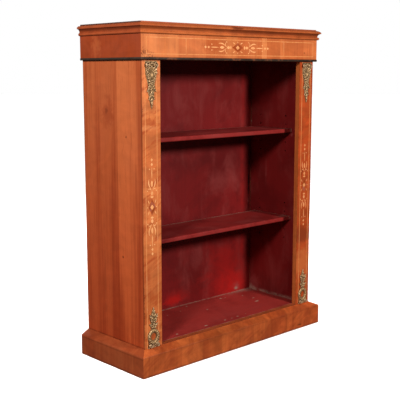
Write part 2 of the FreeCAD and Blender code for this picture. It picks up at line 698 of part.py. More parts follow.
CORNICE_TOP = "(Sizes.cornice_height - Sizes.lip)"
NOSE_TOP = f"({CORNICE_TOP} - Sizes.cornice_ovolo)"
NOSE_LOW = f"({NOSE_TOP} - Sizes.cornice_nose_face)"
COVE_LOW = "(Sizes.cornice_bead + Sizes.cornice_quirk)"
COVE_CHORD = f"sqrt(pow(Sizes.cornice_nose - Sizes.cornice_neck; 2) + pow({NOSE_LOW} - {COVE_LOW}; 2))"
cornice = mitred("cornice", [
    ("0", "0"),
    ("Sizes.cornice_neck", "0", "Sizes.cornice_bead / 2 * 1.001"),
    ("Sizes.cornice_neck", "Sizes.cornice_bead"),
    ("Sizes.cornice_neck", COVE_LOW, f"-0.75 * {COVE_CHORD}"),
    ("Sizes.cornice_nose", NOSE_LOW),
    ("Sizes.cornice_nose", NOSE_TOP, "Sizes.cornice_nose"),
    ("Sizes.lip_overhang", CORNICE_TOP),
    ("0", CORNICE_TOP),
], "Sizes.cornice_nose", CORNICE_BOTTOM)
for place_name, piece in cornice.items():
    keep(f"cornice_{place_name}", piece)

# Carcass: sides with their rows of peg holes, floor, top and back boards.


def side_with_holes(side, sign):
    """A side with a rebate for the back boards and five rows of holes about each shelf."""
    body = new_body(f"side_{side}", x=f"{sign} * {INNER}", z=BASE_TOP)
    plan = new_sketch(body, "XY_Plane")
    outer = f"{sign} * Sizes.side_board"
    rebate = f"{sign} * Sizes.back_rebate"
    outline(plan, [
        ("0", CARCASS_FRONT),
        (outer, CARCASS_FRONT),
        (outer, BACK),
        (rebate, BACK),
        (rebate, BACK_FACE),
        ("0", BACK_FACE),
    ])
    pad(body, plan, f"{TOP_BOTTOM} - {BASE_TOP}")
    for underside in SHELF_UNDERSIDES.values():
        holes = new_sketch(body, "YZ_Plane")
        lowest = f"{underside} - {PEG_DROP} - {BASE_TOP} - Sizes.rows_spare * Sizes.peg_pitch"
        for column in PEG_COLUMNS.values():
            round_hole(holes, "Sizes.peg_radius + Sizes.peg_clearance", (column, lowest))
        drilled = pocket(body, holes, "Sizes.peg_depth", reverse=sign > 0)
        repeat(body, drilled, "Sizes.peg_pitch", "(2 * Sizes.rows_spare + 1)")
    return body


for side, sign in SIDES.items():
    board = side_with_holes(side, sign)
    metal = group(f"side_{side}_metal", [top_screws, back_nails])
    keep(f"{side}_side", cut(f"side_{side}_fixed", board, metal))
    skin = block(f"skin_{side}", across(sign, f"({HALF} - Sizes.veneer)", HALF),
                 (f"({FRONT} + Sizes.veneer)", BACK), (BASE_TOP, TOP_BOTTOM))
    keep(f"{side}_side_veneer", skin)

floor = block("floor", (f"-{INNER}", INNER), (CARCASS_FRONT, BACK_FACE), (BASE_TOP, FLOOR_TOP))
keep("floor_board", cut("floor_nailed", floor, back_nails))
keep("floor_lipping", block("lipping", (f"-{PILASTER_INNER}", PILASTER_INNER), (FRONT, CARCASS_FRONT),
                            (BASE_TOP, FLOOR_TOP)))

for number in range(back_count):
    low = f"({number} * {BOARD_WIDTH} - {BACK_HALF})"
    board = block(f"back_{number}", (low, f"({low} + {BOARD_WIDTH})"), (BACK_FACE, BACK_OUTSIDE),
                  (BASE_TOP, LIP_BOTTOM))
    keep(f"back_board_{number + 1}", cut(f"back_{number}_nailed", board, back_nails))

top = block("top", whole_width, (FRONT, BACK), (TOP_BOTTOM, LIP_BOTTOM))
top_rebate = block("top_rebate", (f"-{BACK_HALF}", BACK_HALF), (BACK_FACE, BACK), (TOP_BOTTOM, LIP_BOTTOM))
keep("top_board", cut("top_fixed", cut("top_rebated", top, top_rebate),
                      group("top_metal", [top_screws, back_nails])))
keep("top_lip", block("lip", (f"-({HALF} + Sizes.lip_overhang)", f"({HALF} + Sizes.lip_overhang)"),
                      (f"({FRONT} - Sizes.lip_overhang)", BACK), (LIP_BOTTOM, "Sizes.overall_height")))

# Shelves, each loose on four turned pegs.


def shelf(name, underside):
    body = new_body(name, z=underside)
    sketch = new_sketch(body, "XY_Plane")
    half = f"({INNER} - Sizes.shelf_end_gap)"
    outline(sketch, [
        (f"-{half}", SHELF_FRONT),
        (half, SHELF_FRONT),
        (half, SHELF_BACK),
        (f"-{half}", SHELF_BACK),
    ])
    board = pad(body, sketch, "Sizes.shelf_board")
    doc.recompute()
    front = size(SHELF_FRONT)
    long_edges = []
    for number, edge in enumerate(board.Shape.Edges, start=1):
        box = edge.BoundBox
        if box.XLength > box.ZLength and abs(box.YMin - front) < 0.01 and box.YLength < 0.01:
            long_edges.append(f"Edge{number}")
    rounding = body.newObject("PartDesign::Fillet", f"{name}_rounding")
    rounding.Base = (board, long_edges)
    bind(rounding, "Radius", "Sizes.shelf_round")
    return body


def peg(name, sign, column, row):
    """A turned peg: a thin shank in its hole and a thicker arm under the shelf."""
    body = new_body(name, f"{sign} * {INNER}", column, row)
    sketch = new_sketch(body, "XY_Plane")
    inward = -sign
    outline(sketch, [(f"{inward} * ({along})", radius) for along, radius in (
        ("Sizes.peg_end_gap - Sizes.peg_depth", "0"),
        ("Sizes.peg_end_gap - Sizes.peg_depth", "Sizes.peg_radius"),
        ("0", "Sizes.peg_radius"),
        ("0", "Sizes.peg_arm_radius"),
        ("Sizes.peg_arm - Sizes.peg_round", "Sizes.peg_arm_radius"),
        ("Sizes.peg_arm", "Sizes.peg_arm_radius - Sizes.peg_round"),
        ("Sizes.peg_arm", "0"),
    )])
    turned_peg = body.newObject("PartDesign::Revolution", f"{name}_turned")
    turned_peg.Profile = sketch
    turned_peg.ReferenceAxis = (datum(body, "X_Axis"), [""])
    turned_peg.Angle = 360
    return body


for level, underside in SHELF_UNDERSIDES.items():
    keep(f"{level}_shelf", shelf(f"shelf_{level}", underside))
    for side, sign in SIDES.items():
        for end, column in PEG_COLUMNS.items():
            name = f"{level}_peg_{side}_{end}"
            keep(name, peg(f"{name}_body", sign, column, f"{underside} - {PEG_DROP}"))

# Check everything, then write each piece.

doc.recompute()
for item in doc.Objects:
    faults = {"Invalid", "Error"} & set(item.State)
    if faults:
        raise RuntimeError(f"{item.Label} is {', '.join(faults)}")
for name, piece in nodes.items():
    if piece.Shape.isNull() or not piece.Shape.isValid() or piece.Shape.Volume <= 0:
        raise RuntimeError(f"{name} has no sound shape")

os.makedirs("parts", exist_ok=True)
for name, piece in nodes.items():
    piece.Shape.exportStep(f"parts/{name}.step")
print(f"{len(nodes)} pieces written")
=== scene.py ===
import math

import bpy
import numpy as np
from bpy.props import FloatProperty, FloatVectorProperty, PointerProperty
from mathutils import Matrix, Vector


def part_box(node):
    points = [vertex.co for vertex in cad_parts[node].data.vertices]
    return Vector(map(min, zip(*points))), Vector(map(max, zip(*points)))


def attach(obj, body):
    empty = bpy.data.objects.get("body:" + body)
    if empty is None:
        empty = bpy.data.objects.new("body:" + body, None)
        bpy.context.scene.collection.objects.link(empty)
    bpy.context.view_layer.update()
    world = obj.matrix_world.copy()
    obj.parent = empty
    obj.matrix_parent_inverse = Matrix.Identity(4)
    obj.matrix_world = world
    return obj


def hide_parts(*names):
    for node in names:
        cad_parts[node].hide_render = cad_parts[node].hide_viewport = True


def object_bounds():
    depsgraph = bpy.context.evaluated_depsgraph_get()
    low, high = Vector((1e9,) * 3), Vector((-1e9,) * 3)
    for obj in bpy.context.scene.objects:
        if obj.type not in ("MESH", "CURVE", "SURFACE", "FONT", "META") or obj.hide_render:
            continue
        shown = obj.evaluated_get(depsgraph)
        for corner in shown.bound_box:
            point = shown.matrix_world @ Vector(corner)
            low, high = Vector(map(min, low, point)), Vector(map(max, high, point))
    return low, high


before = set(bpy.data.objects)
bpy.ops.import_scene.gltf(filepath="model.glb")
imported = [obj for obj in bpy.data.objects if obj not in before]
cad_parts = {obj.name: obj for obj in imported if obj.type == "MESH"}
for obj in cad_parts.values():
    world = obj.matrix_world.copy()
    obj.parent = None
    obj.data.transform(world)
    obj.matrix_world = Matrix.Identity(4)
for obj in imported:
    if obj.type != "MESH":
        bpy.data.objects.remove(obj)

bl_info = {
    "name": "Inlaid Bookcase",
    "version": (1, 0, 0),
    "blender": (4, 5, 0),
    "location": "3D View > Sidebar > Bookcase",
    "description": "Finishes, gilt castings and a small studio for an inlaid walnut bookcase",
    "category": "Object",
}

# The bookcase's own frame: metres, Z up, the open front faces -Y.
CAD_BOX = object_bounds()
MM = 0.001
BLACK = (0, 0, 0)
WHITE = (1, 1, 1)
AXES = "XYZ"
CASE = "case"
LEVELS = ("lower", "upper")
SIDES = ("left", "right")
ENDS = ("front", "back")


def low(node, axis):
    """The lowest place of a CAD node along one axis."""
    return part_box(node)[0][AXES.index(axis)]


def high(node, axis):
    """The highest place of a CAD node along one axis."""
    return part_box(node)[1][AXES.index(axis)]


def colour(name, text, red, green, blue):
    """A colour that a user can change."""
    return FloatVectorProperty(name=name, description=text, default=(red, green, blue),
                               size=3, subtype="COLOR", min=0, max=1)


class BookcaseColours(bpy.types.PropertyGroup):
    """Colours of the finishes."""

    walnut: colour("Walnut", "Straight-grained walnut on the sides", 0.52, 0.130, 0.040)
    walnut_dark: colour("Walnut, dark", "Dark streaks and the mouldings", 0.27, 0.040, 0.010)
    figured: colour("Figured walnut", "Figured veneer on the front", 0.62, 0.155, 0.038)
    figured_dark: colour("Figured walnut, dark", "Dark figure on the front", 0.40, 0.066, 0.014)
    figured_red: colour("Figured walnut, red", "Redder leaves on the right pilaster", 0.46, 0.062, 0.012)
    boxwood: colour("Boxwood", "Light marquetry", 0.92, 0.40, 0.15)
    stringing: colour("Stringing", "Thin strings, stained by old polish", 0.76, 0.265, 0.080)
    rosewood: colour("Rosewood", "Dark lozenges of the marquetry", 0.36, 0.058, 0.007)
    # Also painted shade: mixed with dark walnut, this colour blackens the left and right ends of the lip.
    ebonised: colour("Ebonised wood", "Bead under the frieze and the edge of the lip", 0.030, 0.016, 0.009)
    gilt: colour("Gilt brass", "High points of the castings", 0.50, 0.300, 0.135)
    tarnish: colour("Tarnish", "Hollows of the castings", 0.085, 0.044, 0.018)
    paint: colour("Red paint", "Old paint inside", 0.185, 0.0080, 0.0078)
    # Also painted light: this colour paints the pool of the fill lamp's light low on the right of the back
    # wall.
    paint_bright: colour("Bright paint", "Patches of fresher paint", 0.42, 0.0090, 0.0070)
    paint_deep: colour("Deep paint", "Darker, thicker paint", 0.110, 0.0050, 0.0050)
    # A paler red for the floor and the shelves, which face up: they are made brighter than the walls.
    paint_thin: colour("Thin paint", "Paint worn thin on the floor and the shelves", 0.39, 0.035, 0.028)
    rubbed: colour("Rubbed paint", "Paint worn and smudged pale", 0.30, 0.052, 0.046)
    dust: colour("Dust", "Pale dust and filler in the corners", 0.33, 0.20, 0.15)
    pine: colour("Pine", "Bare boards at the back and under the top", 0.44, 0.225, 0.085)
    pine_dark: colour("Pine, dark", "Knots, dirt and late wood", 0.13, 0.058, 0.02)
    peg: colour("Pegs", "Turned shelf pegs", 0.16, 0.070, 0.030)
    iron: colour("Iron", "Screws and nails", 0.05, 0.038, 0.03)
    floor: colour("Floor", "Studio floor", 0.82, 0.82, 0.82)


class BookcaseSizes(bpy.types.PropertyGroup):
    """Sizes of what is modelled here."""

    relief: FloatProperty(name="Relief", description="Height of the castings off the pilaster",
                          default=8.6 * MM, min=3 * MM, max=9 * MM, unit="LENGTH")
    ground: FloatProperty(name="Ground", description="Thin ground between the leaves of a casting",
                          default=1.4 * MM, min=0.5 * MM, max=3 * MM, unit="LENGTH")
    pitch: FloatProperty(name="Pitch", description="Spacing of the modelled points on a casting",
                         default=0.5 * MM, min=0.25 * MM, max=2 * MM, unit="LENGTH")
    wear: FloatProperty(name="Wear", description="How far the paint and polish are worn",
                        default=1.0, min=0, max=1, subtype="FACTOR")


class BookcaseStudio(bpy.types.PropertyGroup):
    """Camera and lights."""

    distance_left: FloatProperty(name="Left", description="Camera to the left of the middle",
                                 default=1.8867, unit="LENGTH")
    distance_front: FloatProperty(name="Front", description="Camera in front of the middle",
                                  default=1.9607, unit="LENGTH")
    eye_height: FloatProperty(name="Eye height", description="Camera above the floor",
                              default=0.9068, unit="LENGTH")
    turn: FloatProperty(name="Turn", description="Camera turned to the right of straight ahead",
                        default=math.radians(43.38), subtype="ANGLE")
    tilt: FloatProperty(name="Tilt", description="Camera tilted down",
                        default=math.radians(8.92), subtype="ANGLE")
    lens: FloatProperty(name="Lens", description="Focal length in mm on a 36 mm sensor", default=73.48)
    key: FloatProperty(name="Key", description="Power of the frontal lamp", default=62, unit="POWER")
    fill: FloatProperty(name="Fill", description="Power of the lamp on the left", default=40, unit="POWER")
    side: FloatProperty(name="Side", description="Power of the lamp that lights the left side alone",
                        default=30, unit="POWER")
    far_side: FloatProperty(name="Far Side", description="Power of the lamp that lights the right side alone",
                            default=20, unit="POWER")
    behind: FloatProperty(name="Behind", description="Power of the lamp behind the bookcase",
                          default=35, unit="POWER")
    overhead: FloatProperty(name="Overhead", description="Strength of the light on the floor", default=4.2)
    surround: FloatProperty(name="Surround", description="Strength of the pale surroundings", default=0.07)


# Node materials.


class Finish:
    """A node material that is being mixed. Its places are metres in the bookcase's own frame."""

    def __init__(self, name, metallic=0.0, gloss=0.5):
        self.material = bpy.data.materials.new(name)
        self.material.use_nodes = True
        self.nodes = self.material.node_tree.nodes
        self.links = self.material.node_tree.links
        self.shader = self.nodes["Principled BSDF"]
        self.shader.inputs["Metallic"].default_value = metallic
        self.shader.inputs["Specular IOR Level"].default_value = gloss
        places = self.nodes.new("ShaderNodeTexCoord")
        self.place = places.outputs["Object"]
        self.along = self.add("ShaderNodeSeparateXYZ", {0: self.place}).outputs
        self.facing = self.add("ShaderNodeSeparateXYZ", {0: places.outputs["Normal"]}).outputs

    def add(self, kind, inputs, **settings):
        """One node, with its settings and with values or links on its sockets."""
        node = self.nodes.new(kind)
        for name, value in settings.items():
            setattr(node, name, value)
        for key, value in inputs.items():
            if isinstance(value, bpy.types.NodeSocket):
                self.links.new(value, node.inputs[key])
            else:
                node.inputs[key].default_value = value
        return node

    def calc(self, operation, *values):
        """The result of one sum on values or links."""
        return self.add("ShaderNodeMath", dict(enumerate(values)), operation=operation).outputs[0]

    def times(self, first, second):
        """Two values multiplied."""
        return self.calc("MULTIPLY", first, second)

    def average(self, first, second, share):
        """Two values together, the first with this share of the weight."""
        return self.calc("ADD", self.times(first, share), self.times(second, 1 - share))

    def mapped(self, place, scale, shift):
        """A place stretched by a scale per metre along each axis, and shifted."""
        return self.add("ShaderNodeMapping", {"Vector": place, "Scale": scale, "Location": shift}).outputs[0]

    def noise_at(self, mapped, detail, rough, warp):
        """Noise over a place that has been stretched already."""
        return self.add("ShaderNodeTexNoise", {"Vector": mapped, "Scale": 1.0, "Detail": detail,
                                               "Roughness": rough, "Distortion": warp}).outputs[0]

    def noise(self, scale, detail, rough, warp, seed):
        """Noise with a scale per metre, along each axis or the same along all."""
        if not isinstance(scale, tuple):
            scale = (scale, scale, scale)
        shift = (seed, seed * 1.7, seed * 2.3)
        return self.noise_at(self.mapped(self.place, scale, shift), detail, rough, warp)

    def flames(self, slope, across, along, seed):
        """Noise stretched along a slanting line on the front: the flame figure of crotch veneer."""
        slant = (0, math.radians(slope), 0)
        turned = self.add("ShaderNodeMapping", {"Vector": self.place, "Rotation": slant}).outputs[0]
        return self.noise_at(self.mapped(turned, (along, 1.0, across), (seed, seed, seed)), 4, 0.6, 1.2)

    def first_channel(self, tint):
        """The red of a random colour, as a random number."""
        return self.add("ShaderNodeSeparateColor", {0: tint}).outputs[0]

    def spots(self, scale, seed):
        """Scattered spots: the distance to the nearest one, and a random number for each."""
        place = self.mapped(self.place, scale, (seed, seed * 1.3, seed * 0.7))
        cells = self.add("ShaderNodeTexVoronoi", {"Vector": place, "Scale": 1.0}).outputs
        return cells["Distance"], self.first_channel(cells["Color"])

    def leaves(self, axis, width, seed):
        """Leaves of veneer laid side by side along an axis: a random number for each, and the joints."""
        step = self.calc("MULTIPLY_ADD", self.along[axis], 1 / width, seed)
        shared = {"W": step, "Scale": 1.0, "Randomness": 0.7}
        cells = self.add("ShaderNodeTexVoronoi", shared, voronoi_dimensions="1D")
        edges = self.add("ShaderNodeTexVoronoi", shared, voronoi_dimensions="1D",
                         feature="DISTANCE_TO_EDGE")
        joint = self.span(edges.outputs["Distance"], 0.5 * MM / width, 0.0)
        return self.first_channel(cells.outputs["Color"]), joint

    def span(self, value, start, finish, to_start=0.0, to_finish=1.0):
        """A value carried smoothly from one range to another."""
        inputs = {"Value": value, "From Min": start, "From Max": finish,
                  "To Min": to_start, "To Max": to_finish}
        return self.add("ShaderNodeMapRange", inputs, interpolation_type="SMOOTHSTEP").outputs[0]

    def near(self, axis, place, width):
        """1 at a place along an axis, falling to 0 at a width from it."""
        away = self.calc("ABSOLUTE", self.calc("SUBTRACT", self.along[axis], place))
        return self.add("ShaderNodeMapRange", {"Value": away, "From Min": 0.0, "From Max": width,
                                               "To Min": 1.0, "To Max": 0.0}).outputs[0]

    def mark(self, tint, centre, reach, over, depth, soft, specks=False):
        """A ragged oval mark of another colour, reaching so far from its centre along each axis.
        soft is the share of the reach inside which it is full; specks breaks it into dots."""
        moved = self.add("ShaderNodeVectorMath", {0: self.place, 1: centre}, operation="SUBTRACT").outputs[0]
        scaled = self.add("ShaderNodeVectorMath", {0: moved, 1: reach}, operation="DIVIDE").outputs[0]
        away = self.add("ShaderNodeVectorMath", {0: scaled}, operation="LENGTH").outputs["Value"]
        fine = 1.5 * len(AXES) / sum(reach)
        torn = self.calc("SUBTRACT", self.noise(fine, 5, 0.65, 0.5, 10 * depth), 0.5)
        ragged = self.calc("ADD", away, self.times(torn, 2.2))
        share = self.span(ragged, 1.1, soft, 0.0, depth)
        if specks:
            share = self.times(share, self.span(self.noise(260, 4, 0.7, 0.8, 3.1), 0.46, 0.56))
        return self.blend(share, tint, over)

    def ramp(self, value, stops):
        """Colours along a value, each with the place where it is reached."""
        node = self.add("ShaderNodeValToRGB", {0: value})
        elements = node.color_ramp.elements
        while len(elements) < len(stops):
            elements.new(0.5)
        for element, (place, tint) in zip(elements, stops):
            element.position = place
            element.color = (*tint, 1)
        return node.outputs[0]

    def blend(self, share, under, over, how="MIX"):
        """Two colours mixed by a share."""
        node = self.add("ShaderNodeMix", {}, data_type="RGBA", blend_type=how)
        for key, value in ((0, share), (6, under), (7, over)):
            if isinstance(value, bpy.types.NodeSocket):
                self.links.new(value, node.inputs[key])
            else:
                node.inputs[key].default_value = value if key == 0 else (*value, 1)
        return node.outputs[2]

    def tone(self, under, value, depth):
        """A colour made lighter and darker by a value that swings about a half."""
        grey = self.span(value, 0.2, 0.8, 1 - depth, 1 + depth)
        node = self.add("ShaderNodeVectorMath", {0: under, 3: grey}, operation="SCALE")
        return node.outputs[0]

    def surface(self, tint, roughness, height, depth):
        """The colour, the roughness and the bump of the finished surface."""
        self.links.new(tint, self.shader.inputs["Base Color"])
        self.links.new(roughness, self.shader.inputs["Roughness"])
        bump = self.add("ShaderNodeBump", {"Height": height, "Distance": depth, "Strength": 0.6})
        self.links.new(bump.outputs[0], self.shader.inputs["Normal"])
        return self.material


def grain_scale(grain, across, along):
    """A noise scale that is stretched along the grain."""
    return tuple(along if axis == grain else across for axis in AXES)


def mixed(first, second, share):
    """A colour between two others."""
    return tuple(a + (b - a) * share for a, b in zip(first, second))


def veneer(name, grain, light, dark, seed, leaves=None, cloud=0.1, streaks=0.5, dirt_and_shade=(), marks=(),
           darker_along=None, blocks=(), polish=0.34, flame=0.0):
    """Polished wood: streaks and pores along the grain, clouds and curl, and leaves of differing tone.
    Lines near places along an axis are darkened: dirt, and painted shade where parts meet and in hollows;
    a darkening can grow darker and redder along an axis, painted shade on the sides; marks are ovals;
    blocks are pieces of another tone let in between two places along X; flame is the depth of a
    slanting figure on the front."""
    wood = Finish(name, gloss=0.25)
    black = mixed(dark, BLACK, 0.75)
    broad = wood.noise(grain_scale(grain, 17, 0.9), 3, 0.5, 0.5, seed)
    fine = wood.noise(grain_scale(grain, 110, 1.6), 5, 0.6, 0.3, seed + 3)
    hair = wood.noise(grain_scale(grain, 700, 9), 3, 0.7, 0.0, seed + 5)
    figure = wood.average(broad, fine, 0.62)
    tint = wood.blend(wood.span(figure, 0.56, 0.38, 0.0, streaks), light, dark)
    if leaves:
        axis, width = leaves
        number, joint = wood.leaves(axis, width, seed)
        tint = wood.blend(wood.span(number, 0.25, 1.0, 0.0, 0.42), tint, dark)
        tint = wood.blend(wood.times(joint, 0.4), tint, black)
    for start, finish, over, depth in blocks:
        inside = wood.times(wood.calc("GREATER_THAN", wood.along["X"], start),
                            wood.calc("LESS_THAN", wood.along["X"], finish))
        tint = wood.blend(wood.times(inside, depth), tint, over)
    clouds = wood.noise(11, 4, 0.5, 2.2, seed + 9)
    curl = wood.noise(grain_scale(grain, 7, 24), 3, 0.5, 1.6, seed + 7)
    tint = wood.tone(tint, clouds, cloud)
    tint = wood.tone(tint, curl, 0.6 * cloud)
    if flame:
        tint = wood.blend(wood.span(wood.flames(28, 38, 9, seed), 0.48, 0.66, 0.0, flame), tint, dark)
    tint = wood.tone(tint, hair, 0.08)
    # Darker and redder along an axis: on the sides, painted shade for light that falls off lower down.
    if darker_along:
        axis, start, finish, depth = darker_along
        darkened = wood.span(wood.along[axis], start, finish, 0.0, depth)
        tint = wood.blend(darkened, tint, (1.0, 0.45, 0.25), "MULTIPLY")
    pores = wood.span(hair, 0.30, 0.36)
    tint = wood.blend(pores, mixed(dark, BLACK, 0.4), tint)
    broken = wood.span(wood.noise(grain_scale(grain, 60, 7), 4, 0.6, 0.0, seed + 11), 0.15, 0.5)
    # Darker lines near places: dirt, and painted shade where parts meet and in hollows.
    for axis, place, width, depth in dirt_and_shade:
        grime_and_shade = wood.times(wood.times(wood.near(axis, place, width), broken), depth)
        tint = wood.blend(grime_and_shade, tint, black)
    for centre, reach, over, depth, *specks in marks:
        tint = wood.mark(tint, centre, reach, over, depth, 0.35, *specks)
    smears = wood.noise(9, 3, 0.6, 0.5, seed + 13)
    roughness = wood.span(smears, 0.3, 0.7, polish - 0.06, polish + 0.12)
    return wood.surface(tint, roughness, wood.average(pores, fine, 0.6), 0.12 * MM)


def inlay(name, light, dark, seed):
    """Close-grained wood let into the veneer, scorched a little at its edges."""
    wood = Finish(name, gloss=0.2)
    shade = wood.noise((120, 120, 60), 4, 0.6, 0.4, seed)
    scorch = wood.noise(26, 2, 0.5, 0.0, seed + 2)
    tint = wood.ramp(shade, [(0.3, mixed(light, dark, 0.35)), (0.5, light), (0.7, mixed(light, WHITE, 0.06))])
    tint = wood.blend(wood.span(scorch, 0.62, 0.8), tint, mixed(light, dark, 0.5))
    roughness = wood.span(scorch, 0.3, 0.7, 0.32, 0.46)
    return wood.surface(tint, roughness, shade, 0.05 * MM)


def bare_pine(wood, colours, grain, seed):
    """The colour and the relief of unfinished pine with knots, oxidised and dusty."""
    distance, number = wood.spots(grain_scale(grain, 9, 4.2), seed)
    knot = wood.times(wood.span(distance, 0.13, 0.05), wood.span(number, 0.62, 0.7))
    rings = wood.noise(grain_scale(grain, 70, 1.6), 5, 0.55, 1.0, seed + 1)
    fuzz = wood.noise(grain_scale(grain, 380, 12), 3, 0.6, 0.0, seed + 2)
    age = wood.noise(5, 4, 0.6, 0.6, seed + 4)
    tint = wood.ramp(rings, [(0.34, mixed(colours.pine, colours.pine_dark, 0.55)), (0.52, colours.pine),
                             (0.7, mixed(colours.pine, WHITE, 0.08))])
    tint = wood.tone(tint, fuzz, 0.14)
    tint = wood.tone(tint, age, 0.3)
    tint = wood.blend(knot, tint, colours.pine_dark)
    return tint, wood.average(rings, fuzz, 0.5)


def pine(name, colours, grain, seed):
    """Unfinished pine."""
    wood = Finish(name, gloss=0.25)
    tint, relief = bare_pine(wood, colours, grain, seed)
    roughness = wood.span(relief, 0.3, 0.7, 0.75, 0.9)
    return wood.surface(tint, roughness, relief, 0.3 * MM)


def old_paint(name, colours, wear, seed, base, grain="Z", painted=None, behind=None, lines=(), marks=(),
              smudged=0.4, deep=0.7, joints=()):
    """Old red paint over pine: mottled and smudged, with worn or dusty lines near places along an axis.
    painted is the axis and direction of the painted face; behind is the place along Y where paint stops;
    joints are places along X where the bare boards meet."""
    coat = Finish(name, gloss=0.2)
    mottle = coat.noise(5, 5, 0.6, 0.4, seed)
    brushed = coat.noise(grain_scale(grain, 130, 4), 4, 0.6, 0.2, seed + 4)
    smear = coat.noise(grain_scale(grain, 15, 7), 6, 0.62, 0.5, seed + 6)
    tint = coat.blend(coat.span(mottle, 0.56, 0.38, 0.0, deep), base, colours.paint_deep)
    tint = coat.blend(coat.span(smear, 0.44, 0.74, 0.0, smudged * wear), tint, colours.rubbed)
    tint = coat.tone(tint, brushed, 0.06)
    for centre, reach, over, depth, *chipped in marks:
        tint = coat.mark(tint, centre, reach, over, depth, 0.7 if chipped else 0.0)
    broken = coat.span(coat.noise(38, 5, 0.7, 0.6, seed + 8), 0.32, 0.62)
    for axis, place, width, over, depth in lines:
        worn = coat.times(coat.times(coat.near(axis, place, width), broken), depth * wear)
        tint = coat.blend(worn, tint, over)
    relief = coat.average(brushed, smear, 0.6)
    roughness = coat.span(mottle, 0.3, 0.7, 0.42, 0.58)
    if painted or behind:
        bare, bare_relief = bare_pine(coat, colours, grain, seed + 20)
        gap = (0.01, 0.006, 0.004)
        for joint in joints:
            bare = coat.blend(coat.times(coat.near("X", joint, 2 * MM), 0.9), bare, gap)
        if painted:
            axis, sign = painted
            covered = coat.span(coat.times(coat.facing[axis], sign), 0.4, 0.6)
        else:
            covered = coat.span(coat.along["Y"], behind, behind - 0.5 * MM)
        tint = coat.blend(covered, bare, tint)
        roughness = coat.span(covered, 0.0, 1.0, 0.85, 0.5)
        relief = coat.blend(covered, bare_relief, relief)
    return coat.surface(tint, roughness, relief, 0.15 * MM)


def ebonised_wood(name, colours, rubbed, seed):
    """Black polish, rubbed through to dull brown over a share of it."""
    wood = Finish(name, gloss=0.5)
    rub = wood.noise(38, 4, 0.65, 0.5, seed)
    streak = wood.noise((20, 20, 300), 3, 0.6, 0.0, seed + 2)
    brown = mixed(colours.tarnish, colours.walnut_dark, 0.3)
    tint = wood.blend(wood.span(rub, 0.72 - 0.4 * rubbed, 0.85 - 0.4 * rubbed), colours.ebonised, brown)
    tint = wood.tone(tint, streak, 0.25)
    return wood.surface(tint, wood.span(rub, 0.3, 0.7, 0.34, 0.5), streak, 0.08 * MM)


def lip_wood(name, colours, seed):
    """Walnut on the flat top of the case, with its left and right edges almost black: painted shade, where
    the light that falls on the front edge does not reach.
    """
    wood = Finish(name, gloss=0.45)
    broad = wood.noise((1.2, 12, 12), 4, 0.55, 0.8, seed)
    fine = wood.noise((3, 110, 110), 5, 0.6, 0.3, seed + 1)
    stops = [(0.36, colours.walnut_dark), (0.5, mixed(colours.walnut_dark, colours.walnut, 0.55)),
             (0.62, colours.walnut)]
    top = wood.ramp(wood.average(broad, fine, 0.6), stops)
    rings = wood.span(wood.noise(11, 3, 0.5, 0.4, seed + 3), 0.62, 0.74, 0.0, 0.3)
    top = wood.blend(rings, top, mixed(colours.walnut_dark, BLACK, 0.4))
    # Painted shade: the ends facing left and right are made almost black.
    shaded_ends = wood.span(wood.calc("ABSOLUTE", wood.facing["X"]), 0.4, 0.6)
    tint = wood.blend(shaded_ends, top, mixed(colours.ebonised, colours.walnut_dark, 0.2))
    return wood.surface(tint, wood.span(broad, 0.3, 0.7, 0.36, 0.55), fine, 0.1 * MM)


def cast_brass(name, colours, seed):
    """Gilding that is left on the high points, over brass gone dark in the hollows."""
    metal = Finish(name, metallic=0.7, gloss=0.4)
    depth = metal.add("ShaderNodeAttribute", {}, attribute_name="proud").outputs["Fac"]
    stain = metal.noise(150, 5, 0.65, 0.3, seed)
    level = metal.calc("ADD", depth, metal.times(metal.calc("SUBTRACT", stain, 0.5), 0.5))
    tint = metal.ramp(level, [(0.22, colours.tarnish), (0.46, mixed(colours.tarnish, colours.gilt, 0.45)),
                              (0.62, colours.gilt), (0.85, mixed(colours.gilt, (1, 0.85, 0.65), 0.2))])
    roughness = metal.span(level, 0.2, 0.8, 0.72, 0.48)
    grit = metal.noise(900, 3, 0.6, 0.0, seed + 2)
    return metal.surface(tint, roughness, grit, 0.05 * MM)


def rusted_iron(name, colours, seed):
    """Dark iron with a bloom of rust."""
    metal = Finish(name, metallic=0.6, gloss=0.4)
    bloom = metal.noise(300, 4, 0.65, 0.0, seed)
    tint = metal.ramp(bloom, [(0.4, colours.iron), (0.65, mixed(colours.iron, colours.walnut_dark, 0.7))])
    return metal.surface(tint, metal.span(bloom, 0.3, 0.7, 0.5, 0.8), bloom, 0.05 * MM)


def pale_floor(name, colours):
    """The studio floor: matt and even."""
    ground = Finish(name, gloss=0.1)
    cloud = ground.noise(1.5, 3, 0.5, 0.0, 4.0)
    tint = ground.ramp(cloud, [(0.3, mixed(colours.floor, (0.7, 0.7, 0.7), 0.15)), (0.7, colours.floor)])
    return ground.surface(tint, ground.span(cloud, 0.3, 0.7, 0.85, 0.95), cloud, 0.1 * MM)


# Castings, modelled as a height over a flat ground. All their own measures are in millimetres.
# Ground lower than THINNEST is left open. NEARBY is how far round a point its height is compared.
THINNEST = 0.05
NEARBY = 2.2


